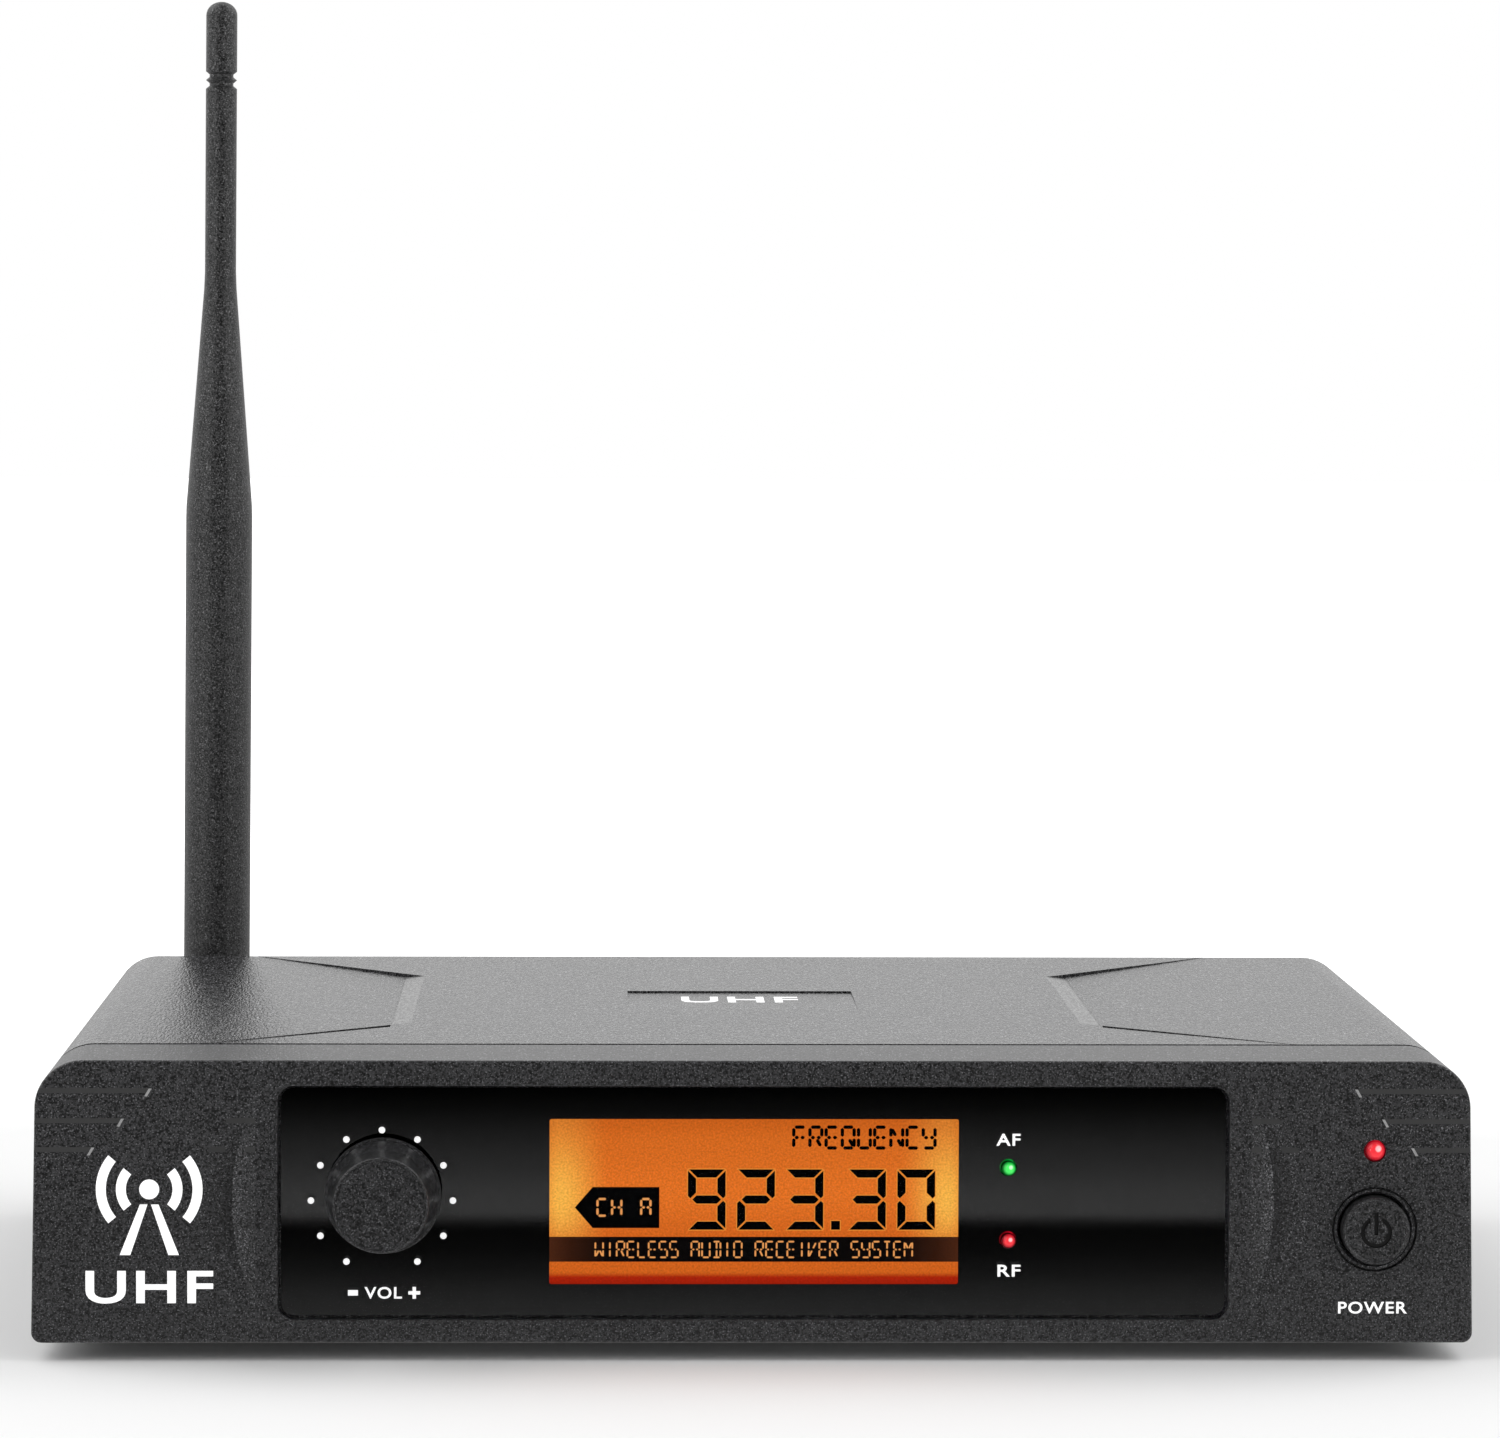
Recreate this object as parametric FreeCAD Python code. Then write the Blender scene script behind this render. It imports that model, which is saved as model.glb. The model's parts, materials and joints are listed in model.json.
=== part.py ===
import FreeCAD, Part
import math
import os

# Wireless receiver unit: a half-rack plastic case with one swivelling rod antenna.
#
# Frame, in millimetres: X to the right seen from the front, the front faces -Y, +Z up.
# The origin is the centre of the overall footprint, on the surface the feet stand on.
# A place along the case is given as a depth behind the frontmost bezel face, from 0 to
# case_depth, and at(depth) turns it into Y.

# Driving dimensions: case
case_width = 210.0          # at the bottom edge, the widest place
case_height = 41.3          # without the feet
case_depth = 150.0
foot_height = 2.7
side_draft = math.radians(1.0)
top_corner = 7.0
bottom_corner = 1.5
edge_round = 0.4            # front and rear outer edges
wall = 2.2
split_height = 12.0         # parting line between tray and cover, above the floor
split_gap = 0.25
play = 0.15                 # between pieces of the case that slide together

# Driving dimensions: bezel and window
bezel_depth = 21.0
seam = 0.5
seam_round = 1.0            # the bezel's rear edge, beside the seam
front_wall = 3.5
window_width = 138.4
window_height = 34.1
window_centre_z = foot_height + 20.5
window_corner = 2.3
window_recess = 0.2
window_rim_round = 0.2
lens_thickness = 1.45
film_thickness = 0.15
film_gap = 0.05             # air between the window and the printed film
lens_gap = 0.1
ledge = 2.0                 # width of the shelf that the window lies on
display_width = 59.6        # the clear opening in the window's black print
display_height = 24.2
display_z = foot_height + 20.5
glass_width = 64.0
glass_height = 28.4
glass_thickness = 2.2
backlight_thickness = 3.0
scoop_chord = 72.4          # crescent hollows beside the window: inner edge, crease, rim
scoop_crease = 75.8
scoop_rim = 81.0
scoop_depth = 0.9
scoop_height = 32.0

# Driving dimensions: controls
knob_x = -53.9
knob_z = foot_height + 21.7
knob_length = 10.9
knob_gap = 0.5              # from the lens to the knob's skirt
shaft_radius = 3.0
button_x = 90.5
button_z = foot_height + 16.7
button_radius = 4.95
button_bore = 5.15
button_ring_inner = 5.5     # the flat ring round the button, and the groove outside it
button_ring_outer = 5.9
button_groove = 6.25
button_travel = 1.8
button_proud = 2.3
power_led_x = 90.45
power_led_z = foot_height + 28.2
power_led_radius = 1.5
signal_led_radius = 1.0
signal_led_x = 37.05
af_led_z = foot_height + 25.5
rf_led_z = foot_height + 14.9
led_skirt = 6.5             # back of the indicators' bases
pot_front = window_recess + 4.2
shaft_end = pot_front + 4.0
cap_back = front_wall + 0.3
plunger_radius = 1.7
switch_front = 7.0

# Driving dimensions: rear and antenna
panel_thickness = 1.6
panel_setback = 3.0         # outer face of the rear panel, in front of the case's rear edge
port_z = 22.0               # height of the connectors' axes above the floor
antenna_x = -88.4
antenna_offset = 12.5       # antenna axis behind the case's rear edge
antenna_lean = 0.38         # degrees from upright, towards +X
mast_radius = 5.66
tip_radius = 2.65
taper_start_z = 120.3
taper_end_z = 158.2
tip_z = 206.0
xlr_x = 32.0
jack_x = -12.0
dc_x = 84.0
xlr_cup = 9.4
xlr_depth = 17.5
flange_thickness = 1.8
jack_bore = 3.25
antenna_bore = 4.2
cheek_inner = 3.2           # fork of the antenna's swivel base
cheek_outer = 5.6
cheek_radius = 4.6
pin_radius = 1.3
tongue_half = cheek_inner - 0.3
mast_start = port_z + 6.6   # where the tongue passes into the round mast
rod_hole = 1.3

# The overall footprint runs from the knob's face to the back of the mast.
knob_reach = knob_length + knob_gap - window_recess
front_y = knob_reach - (knob_reach + case_depth + antenna_offset + mast_radius) / 2.0
inner_half = case_width / 2.0 - wall
case_bottom = foot_height
case_top = foot_height + case_height
roof = case_top
tray_floor = case_bottom + wall
board_depth = 10.0                       # front face of the control board
board_thickness = 1.6
control_back = board_depth + board_thickness
main_board_z = tray_floor + 5.0
main_board_top = main_board_z + board_thickness
panel_out = case_depth - panel_setback
panel_in = panel_out - panel_thickness
pivot_depth = case_depth + antenna_offset
post_x = 97.5
post_depths = (32.0, 138.0)
lug_x = 80.0
lug_screw_depth = 26.5
standoff_x = 84.0
standoff_depths = (50.0, 126.0)
screw_radius = 1.3
film_front = window_recess + lens_thickness + film_gap
glass_front = film_front + film_thickness + 0.15
xlr_z = port_z + 1.5
insert_front = panel_out + flange_thickness - xlr_depth + 2.6
jack_nose = panel_out + 4.4
jack_body_start = panel_in - 26.0
dc_z = main_board_top + 6.5
connector_tip = case_depth + 1.5
coupling_start = case_depth - 0.5
coupling_end = case_depth + 4.6
base_start = coupling_end + 0.3

# Driving dimensions: what stands on the main board
ribbon_half = 8.0
ribbon_z = 27.0
ribbon_drop = 50.0          # depth of the main board's header
can_low = (-78.0, 74.0)     # corners of the shield can, in X and depth
can_high = (-38.0, 112.0)
can_height = 7.0
regulator_x = 74.0
regulator_depth = 100.0
sink_front = regulator_depth + 2.3
sink_height = 22.0

X = FreeCAD.Vector(1, 0, 0)
Y = FreeCAD.Vector(0, 1, 0)
Z = FreeCAD.Vector(0, 0, 1)
SIDES = (-1, 1)
nodes = {}


def at(depth):
    return front_y + depth


def point(x, depth, z):
    return FreeCAD.Vector(x, at(depth), z)


def block(x0, x1, d0, d1, z0, z1):
    """A box between two values of X, depth and Z."""
    return Part.makeBox(x1 - x0, d1 - d0, z1 - z0, point(x0, d0, z0))


def rod_y(x, z, radius, d0, d1):
    return Part.makeCylinder(radius, d1 - d0, point(x, d0, z), Y)


def rod_z(x, depth, radius, z0, z1):
    return Part.makeCylinder(radius, z1 - z0, point(x, depth, z0), Z)


def rod_x(depth, z, radius, x0, x1):
    return Part.makeCylinder(radius, x1 - x0, point(x0, depth, z), X)


def cone_y(x, z, r0, r1, d0, d1):
    return Part.makeCone(r0, r1, d1 - d0, point(x, d0, z), Y)


def fuse(shapes):
    first = shapes[0]
    joined = first.fuse(shapes[1:]) if len(shapes) > 1 else first
    return joined.removeSplitter()


def group(shapes):
    return Part.makeCompound(shapes)


def rounded_wire(corners, radii, place):
    """A closed wire with tangent arcs at its corners; place turns (u, v) into a point."""
    flat = [FreeCAD.Vector(u, v, 0) for u, v in corners]
    starts, ends, arcs = [], [], []
    for i, corner in enumerate(flat):
        to_last = (flat[i - 1] - corner).normalize()
        to_next = (flat[(i + 1) % len(flat)] - corner).normalize()
        radius = radii[i] if isinstance(radii, (list, tuple)) else radii
        half = to_last.getAngle(to_next) / 2.0
        reach = radius / math.tan(half)
        bisector = (to_last + to_next).normalize()
        centre = corner + bisector * (radius / math.sin(half))
        starts.append(corner + to_last * reach)
        ends.append(corner + to_next * reach)
        arcs.append(centre - bisector * radius)
    edges = []
    for i in range(len(flat)):
        start, middle, end = [place(p.x, p.y) for p in (starts[i], arcs[i], ends[i])]
        following = place(starts[(i + 1) % len(flat)].x, starts[(i + 1) % len(flat)].y)
        if start.distanceToPoint(end) > 1e-6:
            edges.append(Part.Arc(start, middle, end).toShape())
        if end.distanceToPoint(following) > 1e-6:
            edges.append(Part.makeLine(end, following))
    return Part.Wire(edges)


def slab(corners, radii, d0, d1):
    """An outline in X and Z with rounded corners, extruded from depth d0 to d1."""
    wire = rounded_wire(corners, radii, lambda u, v: point(u, d0, v))
    return Part.Face(wire).extrude(FreeCAD.Vector(0, d1 - d0, 0))


def plan(corners, radii, z0, z1):
    """An outline in X and depth with rounded corners, extruded from z0 to z1."""
    wire = rounded_wire(corners, radii, lambda u, v: point(u, v, z0))
    return Part.Face(wire).extrude(FreeCAD.Vector(0, 0, z1 - z0))


def polygon_prism(points, run):
    return Part.Face(Part.makePolygon(points + [points[0]])).extrude(run)


def rectangle(x, z, width, height):
    return [
        (x - width / 2, z - height / 2),
        (x + width / 2, z - height / 2),
        (x + width / 2, z + height / 2),
        (x - width / 2, z + height / 2),
    ]


def turned_y(x, z, profile):
    """A solid turned about an axis along Y; profile lists (radius, depth)."""
    points = [point(x + r, d, z) for r, d in profile]
    face = Part.Face(Part.makePolygon(points + [points[0]]))
    return face.revolve(point(x, 0, z), Y, 360)


def hexagon_y(x, z, across_flats, d0, d1):
    radius = across_flats / 2 / math.cos(math.radians(30))
    angles = [math.radians(60 * i + 30) for i in range(6)]
    points = [point(x + radius * math.cos(a), d0, z + radius * math.sin(a)) for a in angles]
    return polygon_prism(points, FreeCAD.Vector(0, d1 - d0, 0))


# Case shells

def case_section(inset, d0, d1):
    """The case's cross-section, set in by a wall, from depth d0 to d1."""
    lean = case_height * math.tan(side_draft)
    low = case_width / 2 - inset
    high = case_width / 2 - lean - inset
    bottom, top = case_bottom + inset, case_top - inset
    corners = [(-low, bottom), (low, bottom), (high, top), (-high, top)]
    soft = max(bottom_corner - inset, 0.4)
    large = max(top_corner - inset, 1.0)
    return slab(corners, [soft, soft, large, large], d0, d1)


def rounded_end(solid, depth, radius, reach=case_width):
    """The solid with its edges in the plane at that depth, out to |X| = reach, rounded."""
    edges = []
    for edge in solid.Edges:
        box = edge.BoundBox
        in_plane = abs(box.YMin - at(depth)) < 1e-6 and abs(box.YMax - at(depth)) < 1e-6
        if in_plane and box.XMax < reach and box.XMin > -reach:
            edges.append(edge)
    return solid.makeFillet(radius, edges)


def section_ring(outer, inner, d0, d1):
    return case_section(outer, d0, d1).cut(case_section(inner, d0 - 1, d1 + 1))


def scoop(side):
    """A crescent hollow in the front face: it slopes down outwards and has a conical return."""
    bow = scoop_rim - scoop_chord
    rim_radius = ((scoop_height / 2) ** 2 + bow ** 2) / (2 * bow)
    centre_x = side * (scoop_rim - rim_radius)
    flare = (scoop_rim - scoop_crease) / scoop_depth        # radius lost per unit of depth
    over, under = 1.0, 1.2 * scoop_depth
    return_cone = cone_y(
        centre_x, window_centre_z, rim_radius + flare * over, rim_radius - flare * under, -over, under
    )
    slope = scoop_depth / (scoop_crease - scoop_chord)
    low_z = window_centre_z - scoop_height / 2 - 1
    end_x = scoop_rim + 1.0
    wedge = polygon_prism(
        [
            point(side * scoop_chord, 0, low_z),
            point(side * end_x, slope * (end_x - scoop_chord), low_z),
            point(side * end_x, -over, low_z),
            point(side * scoop_chord, -over, low_z),
        ],
        FreeCAD.Vector(0, 0, scoop_height + 2),
    )
    return return_cone.common(wedge)


def speed_line(side, inner_x, z):
    """A shallow groove with a slanted inner end, running out through the case's side."""
    depth, reach = 0.25, 1.6        # reach: how far the section is drawn beyond the face
    upper, deepest, lower = z + 1.5, z + 0.7, z - 0.65
    outer_x = case_width / 2 + 1.0
    inner_end = (inner_x - 0.65, inner_x + 0.2, inner_x + 0.6)
    wires = []
    for top_x, deep_x, low_x in (inner_end, (outer_x, outer_x, outer_x)):
        bottom = point(side * deep_x, depth, deepest)
        top_edge = point(side * top_x, 0, upper)
        low_edge = point(side * low_x, 0, lower)
        corners = [bottom, bottom + (top_edge - bottom) * reach, bottom + (low_edge - bottom) * reach]
        wires.append(Part.makePolygon(corners + [corners[0]]))
    return Part.makeLoft(wires, True, True)


def front_bezel():
    body = rounded_end(case_section(0, 0, bezel_depth), 0, edge_round)
    body = rounded_end(body, bezel_depth, seam_round)
    body = body.cut(case_section(wall, front_wall, bezel_depth + 1))

    seat = film_front + film_thickness
    window = rectangle(0, window_centre_z, window_width, window_height)
    opening = rectangle(0, window_centre_z, window_width - 2 * ledge, window_height - 2 * ledge)
    body = body.cut(slab(window, window_corner, -1, seat))
    body = rounded_end(body, 0, window_rim_round, window_width / 2 + 1)
    body = body.cut(slab(opening, window_corner - 0.6, 0, front_wall + 1))

    lines = ((88.0, 35.8), (92.0, 31.4), (96.3, 27.2))
    grooves = [speed_line(side, x, foot_height + z) for side in SIDES for x, z in lines]
    body = body.cut(grooves + [scoop(side) for side in SIDES])

    bore = rod_y(button_x, button_z, button_bore, 0, front_wall + 1)
    chamfer = cone_y(button_x, button_z, button_ring_inner, button_bore - 0.1, 0.15, 1.0)
    recess = rod_y(button_x, button_z, button_ring_outer + 0.02, -1, 0.15)
    groove = cone_y(button_x, button_z, button_groove, button_groove - 0.1, -0.1, 0.9)
    groove = groove.cut(rod_y(button_x, button_z, button_ring_outer, -1, 2))
    led_bore = rod_y(power_led_x, power_led_z, power_led_radius + 0.12, 0, front_wall + 1)
    body = body.cut([bore, chamfer, recess, groove, led_bore])

    lip = section_ring(wall - 0.1, wall + 1.2, bezel_depth - 4, bezel_depth)
    tongue = section_ring(wall + play, wall + 1.2, bezel_depth - 0.01, bezel_depth + 2.4)
    lug_top = tray_floor + 6.0
    lugs = []
    for side in SIDES:
        x = side * lug_x
        lug = block(x - 5, x + 5, bezel_depth - 6, lug_screw_depth + 4.5, tray_floor + 0.05, lug_top)
        lugs.append(lug)
    body = fuse([body, lip, tongue] + lugs)
    pilots = [
        rod_z(side * lug_x, lug_screw_depth, screw_radius, tray_floor - 1, lug_top - 1.0) for side in SIDES
    ]
    return body.cut(pilots)


def case_shell():
    """Cover and tray as one tube, with the groove that holds the rear panel."""
    start = bezel_depth + seam
    outer = rounded_end(case_section(0, start, case_depth), case_depth, edge_round)
    tube = outer.cut(case_section(wall, start - 1, case_depth + 1))
    front_stop = section_ring(wall - 0.1, wall + 1.4, panel_in - 0.1 - 1.6, panel_in - 0.1)
    rear_stop = section_ring(wall - 0.1, wall + 1.4, panel_out + 0.1, panel_out + 2.0)
    return fuse([tube, front_stop, rear_stop])


def side_pocket(side):
    """The sunk panel of the roof on one side, deepest beside its short inner slope."""
    sink = 0.45
    inner, floor_start = 51.3, 54.4
    rear_corner, rear_exit = 117.6, 80.7
    front_corner, front_exit = 46.8, 82.4
    over = 1.0
    profile = [
        point(side * inner, 0, roof),
        point(side * floor_start, 0, roof - sink),
        point(side * front_exit, 0, roof),
        point(side * front_exit, 0, roof + over),
        point(side * inner, 0, roof + over),
    ]
    hollow = polygon_prism(profile, FreeCAD.Vector(0, case_depth + 5, 0))
    outline = [
        point(side * inner, rear_corner, roof - 3),
        point(side * rear_exit, case_depth, roof - 3),
        point(side * (rear_exit + 4.5), case_depth + 5, roof - 3),
        point(side * 110, case_depth + 5, roof - 3),
        point(side * 110, bezel_depth, roof - 3),
        point(side * front_exit, bezel_depth, roof - 3),
        point(side * floor_start, front_corner, roof - 3),
        point(side * inner, front_corner + 2.0, roof - 3),
    ]
    area = polygon_prism(outline, FreeCAD.Vector(0, 0, 6))
    step = hollow.common(area)

    # a shallow ramp down to the front line, which ends at a low wall in front of the pocket
    land, drop, run = 0.7, 0.28, 2.6
    ramp_wires = []
    for x, d, share in ((floor_start, front_corner, 1.0), (front_exit, bezel_depth, 0.05)):
        wall_d = d - land
        points = [
            point(side * x, wall_d - run, roof),
            point(side * x, wall_d, roof - drop * share),
            point(side * x, wall_d, roof + over),
            point(side * x, wall_d - run, roof + over),
        ]
        ramp_wires.append(Part.makePolygon(points + [points[0]]))
    return [step, Part.makeLoft(ramp_wires, True, True)]


def label_recess():
    """A wedge-shaped flat for a label, deepest at its rear edge."""
    half_width, rear, front, sink, over = 18.0, 95.0, 68.0, 0.25, 1.0
    side_view = [
        point(-half_width, front, roof),
        point(-half_width, rear, roof - sink),
        point(-half_width, rear, roof + over),
        point(-half_width, front, roof + over),
    ]
    return polygon_prism(side_view, FreeCAD.Vector(2 * half_width, 0, 0))


def top_cover(shell):
    upper = block(-120, 120, 0, 200, split_height + split_gap, 60)
    cover = shell.common(upper)
    recesses = [label_recess()]
    for side in SIDES:
        recesses.extend(side_pocket(side))
    cover = cover.cut(recesses)
    roof_inside = case_top - wall + 0.2
    inside = case_section(wall - 0.2, 0, case_depth)
    posts, pilots, ribs = [], [], []
    for side in SIDES:
        for depth in post_depths:
            posts.append(rod_z(side * post_x, depth, 3.5, tray_floor + 0.1, roof_inside))
            wall_x = side * (inner_half - 0.3)
            x0, x1 = sorted((side * post_x, wall_x))
            rib = block(x0, x1, depth - 0.8, depth + 0.8, split_height + split_gap, roof_inside)
            ribs.append(rib.common(inside))
            pilots.append(rod_z(side * post_x, depth, screw_radius, tray_floor - 1, tray_floor + 12))
    return fuse([cover] + posts + ribs).cut(pilots)


def bottom_tray(shell):
    lower = block(-120, 120, 0, 200, 0, split_height)
    start, stop = bezel_depth + seam + 3.0, panel_in - 2.2
    lips = []
    tongue = (wall + play, split_height - 1.0, split_height + 2.0)
    root = (wall - 0.1, split_height - 4.0, split_height - 0.5)
    for inset, low, high in (tongue, root):
        ring = section_ring(inset, wall + 1.3, start, stop)
        for side in SIDES:
            x0, x1 = sorted((side * (inner_half - 5), side * 120))
            lips.append(ring.common(block(x0, x1, 0, 200, low, high)))
    standoffs, pilots = [], []
    for side in SIDES:
        for depth in standoff_depths:
            standoffs.append(rod_z(side * standoff_x, depth, 3.0, tray_floor - 0.5, main_board_z))
            pilots.append(rod_z(side * standoff_x, depth, screw_radius, tray_floor, main_board_z + 1))
    tray = fuse([shell.common(lower)] + lips + standoffs)

    # room for the cover's posts in the tray's lip
    clear = [
        rod_z(side * post_x, depth, 3.9, tray_floor, split_height + 3)
        for side in SIDES
        for depth in post_depths
    ]
    slots = []
    for side in SIDES:
        for depth in post_depths:
            x0, x1 = sorted((side * post_x, side * (inner_half - 0.05)))
            slots.append(block(x0, x1, depth - 1.1, depth + 1.1, split_height - 1.2, split_height + 3))
    drills, sinks = [], []
    for x, depth in screw_places():
        drills.append(rod_z(x, depth, screw_radius + 0.3, 0, tray_floor + 0.5))
        sinks.append(rod_z(x, depth, 3.1, 0, case_bottom + 1.0))
    seats = [rod_z(x, depth, 7.0 + 0.1, 0, case_bottom + 0.5) for x, depth in foot_places()]
    return tray.cut(pilots + clear + slots + drills + sinks + seats)


def screw_places():
    posts = [(side * post_x, depth) for side in SIDES for depth in post_depths]
    return posts + [(side * lug_x, lug_screw_depth) for side in SIDES]


def foot_places():
    return [(side * 82.0, depth) for side in SIDES for depth in (40.0, 134.0)]


def cross_slot(x, depth, z0, z1):
    """A cross recess for a screwdriver, cut from a screw head that faces along Z."""
    arm, width = 1.6, 0.5
    return block(x - arm, x + arm, depth - width / 2, depth + width / 2, z0, z1).fuse(
        block(x - width / 2, x + width / 2, depth - arm, depth + arm, z0, z1)
    )


def case_screws():
    screws = []
    for x, depth in screw_places():
        head = rod_z(x, depth, 2.8, case_bottom - 0.55, case_bottom + 1.0)
        head = head.cut(cross_slot(x, depth, case_bottom - 1, case_bottom + 0.2))
        shank_top = tray_floor + (10.0 if abs(x) > 90 else 4.5)
        shank = rod_z(x, depth, screw_radius, case_bottom + 0.9, shank_top)
        screws.append(fuse([head, shank]))
    return group(screws)


def rubber_feet():
    """Round feet with a bevelled sole and a dimple, set into shallow seats in the tray."""
    sole_radius, radius, bevel = 6.3, 7.0, 1.2
    feet = []
    for x, depth in foot_places():
        sole = Part.makeCone(sole_radius, radius, bevel, point(x, depth, 0), Z)
        body = rod_z(x, depth, radius, bevel, case_bottom + 0.5)
        dimple = rod_z(x, depth, 2.5, -0.1, 0.8)
        feet.append(fuse([sole, body]).cut(dimple))
    return group(feet)


# Window and display

def window_lens():
    outline = rectangle(0, window_centre_z, window_width - 2 * lens_gap, window_height - 2 * lens_gap)
    lens = slab(outline, window_corner - lens_gap, window_recess, window_recess + lens_thickness)
    return lens.cut(window_drills(window_recess - 1, window_recess + lens_thickness + 1, 0.0))


def window_drills(d0, d1, extra):
    shaft = rod_y(knob_x, knob_z, shaft_radius + 0.6 + extra, d0, d1)
    led_hole = signal_led_radius + 0.08 + extra
    leds = [rod_y(signal_led_x, z, led_hole, d0, d1) for z in (af_led_z, rf_led_z)]
    return [shaft] + leds


def window_mask_film():
    outline = rectangle(0, window_centre_z, window_width - 0.8, window_height - 0.8)
    film = slab(outline, window_corner - 0.4, film_front, film_front + film_thickness)
    opening = rectangle(0, display_z, display_width, display_height)
    film = film.cut(slab(opening, 0.3, film_front - 1, film_front + 1))
    return film.cut(window_drills(film_front - 1, film_front + 1, 0.2))


def lcd_glass():
    outline = rectangle(0, display_z, glass_width, glass_height)
    return slab(outline, 0.4, glass_front, glass_front + glass_thickness)


def lcd_backlight():
    start = glass_front + glass_thickness
    outline = rectangle(0, display_z, glass_width, glass_height)
    return slab(outline, 0.4, start, start + backlight_thickness)


def lcd_frame():
    """An open-fronted tray of folded metal that clips the display to the control board."""
    start, back = front_wall + 0.2, glass_front + glass_thickness + backlight_thickness + 0.1
    outer = slab(rectangle(0, display_z, glass_width + 2.6, glass_height + 2.4), 1.0, start, back + 0.6)
    inner = slab(rectangle(0, display_z, glass_width + 0.3, glass_height + 0.2), 0.5, start - 1, back)
    frame = outer.cut(inner)
    legs = []
    for x in (-26.0, 26.0):
        for z in (-11.0, 11.0):
            middle = display_z + z
            legs.append(block(x - 1.5, x + 1.5, back + 0.3, board_depth, middle - 0.4, middle + 0.4))
    return fuse([frame] + legs)


def control_pcb():
    low, high = tray_floor + 1.4, case_top - wall - 3.0
    corners = [(-72.0, low), (99.0, low), (99.0, high), (-72.0, high)]
    return slab(corners, 1.0, board_depth, control_back)


def led(x, z, radius, tip):
    """A round indicator: domed lens, cylinder and skirt, looking forwards."""
    dome_centre = tip + radius
    flange = led_skirt - 0.9
    dome = Part.makeSphere(radius, point(x, dome_centre, z))
    dome = dome.common(block(x - 5, x + 5, tip - 1, dome_centre, z - 5, z + 5))
    barrel = rod_y(x, z, radius, dome_centre, flange)
    base = rod_y(x, z, radius + 0.4, flange, led_skirt)
    return fuse([dome, barrel, base])


def led_spacers():
    """Black sleeves that hold the three indicators off the control board."""
    spacers = []
    for x, z in ((signal_led_x, af_led_z), (signal_led_x, rf_led_z), (power_led_x, power_led_z)):
        sleeve = rod_y(x, z, 2.4, led_skirt, board_depth)
        spacers.append(sleeve.cut(rod_y(x, z, 0.9, led_skirt - 1, board_depth + 1)))
    return group(spacers)


# Controls

def volume_knob():
    tip = window_recess - knob_gap - knob_length
    skirt = window_recess - knob_gap
    profile = [
        (8.45, skirt), (8.45, skirt - 0.75), (7.85, skirt - 0.85), (7.85, skirt - 1.3),
        (8.05, skirt - 1.4), (7.75, skirt - 2.6), (7.35, skirt - 3.8), (7.15, skirt - 4.6),
        (7.05, skirt - 6.0), (6.98, skirt - 8.2), (6.94, tip + 0.45), (6.9, tip + 0.2),
        (6.78, tip + 0.04), (6.66, tip), (6.52, tip + 0.06), (6.42, tip + 0.2), (0.0, tip + 0.2),
    ]
    hollow_roof = tip + 1.7
    profile += [(0.0, hollow_roof), (5.7, hollow_roof), (5.9, skirt - 4.6), (6.9, skirt)]
    shell = turned_y(knob_x, knob_z, profile)
    boss = rod_y(knob_x, knob_z, 4.6, hollow_roof - 0.2, skirt - 0.4)
    knob = fuse([shell, boss])
    return knob.cut(rod_y(knob_x, knob_z, shaft_radius, hollow_roof + 1.0, skirt + 1))


def volume_shaft():
    start = window_recess - knob_gap - knob_length + 2.7
    shaft = rod_y(knob_x, knob_z, shaft_radius, start, shaft_end)
    collar = rod_y(knob_x, knob_z, shaft_radius + 1.0, pot_front + 2.0, pot_front + 3.0)
    return fuse([shaft, collar])


def pot_body():
    """Potentiometer housing on the control board, bored for its shaft and collar."""
    body = block(knob_x - 5.5, knob_x + 5.5, pot_front, board_depth, knob_z - 6.0, knob_z + 6.0)
    bore = rod_y(knob_x, knob_z, shaft_radius + 0.05, pot_front - 1, shaft_end + 0.3)
    room = rod_y(knob_x, knob_z, shaft_radius + 1.3, pot_front + 1.7, pot_front + 3.3)
    return body.cut([bore, room])


def power_button_cap():
    """A round cap with a dished face, an engraved power sign and a collar behind the wall."""
    tip = -button_proud
    ring, face = button_radius - 0.3, tip + 0.25
    profile = [
        (0.0, face), (ring - 0.35, face), (ring - 0.15, tip + 0.08), (ring, tip), (ring + 0.12, tip + 0.04),
        (button_radius, tip + 0.35), (button_radius, cap_back), (button_radius + 1.3, cap_back),
        (button_radius + 1.3, cap_back + 0.8), (0.0, cap_back + 0.8),
    ]
    cap = turned_y(button_x, button_z, profile)
    engraving = 0.3
    sign_z = button_z - 0.15
    circle = rod_y(button_x, sign_z, 2.3, tip - 1, face + engraving)
    circle = circle.cut(rod_y(button_x, sign_z, 1.7, tip - 2, face + 2))
    gap = block(button_x - 0.85, button_x + 0.85, tip - 2, face + 2, sign_z, sign_z + 5)
    bar = block(button_x - 0.3, button_x + 0.3, tip - 1, face + engraving, sign_z - 0.4, sign_z + 2.9)
    return cap.cut([circle.cut(gap), bar])


def power_switch_plunger():
    return rod_y(button_x, button_z, plunger_radius, cap_back + 0.8, board_depth - button_travel - 0.3)


def power_switch_body():
    body = block(button_x - 4.2, button_x + 4.2, switch_front, board_depth, button_z - 4.2, button_z + 4.2)
    return body.cut(rod_y(button_x, button_z, plunger_radius + 0.06, switch_front - 1, board_depth + 1))


# Boards and what stands on them

def main_pcb():
    board = plan([(-91, 42), (91, 42), (91, 133), (-91, 133)], 2.0, main_board_z, main_board_top)
    holes = [
        rod_z(side * standoff_x, depth, 1.6, main_board_z - 1, main_board_top + 1)
        for side in SIDES
        for depth in standoff_depths
    ]
    return board.cut(holes)


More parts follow.
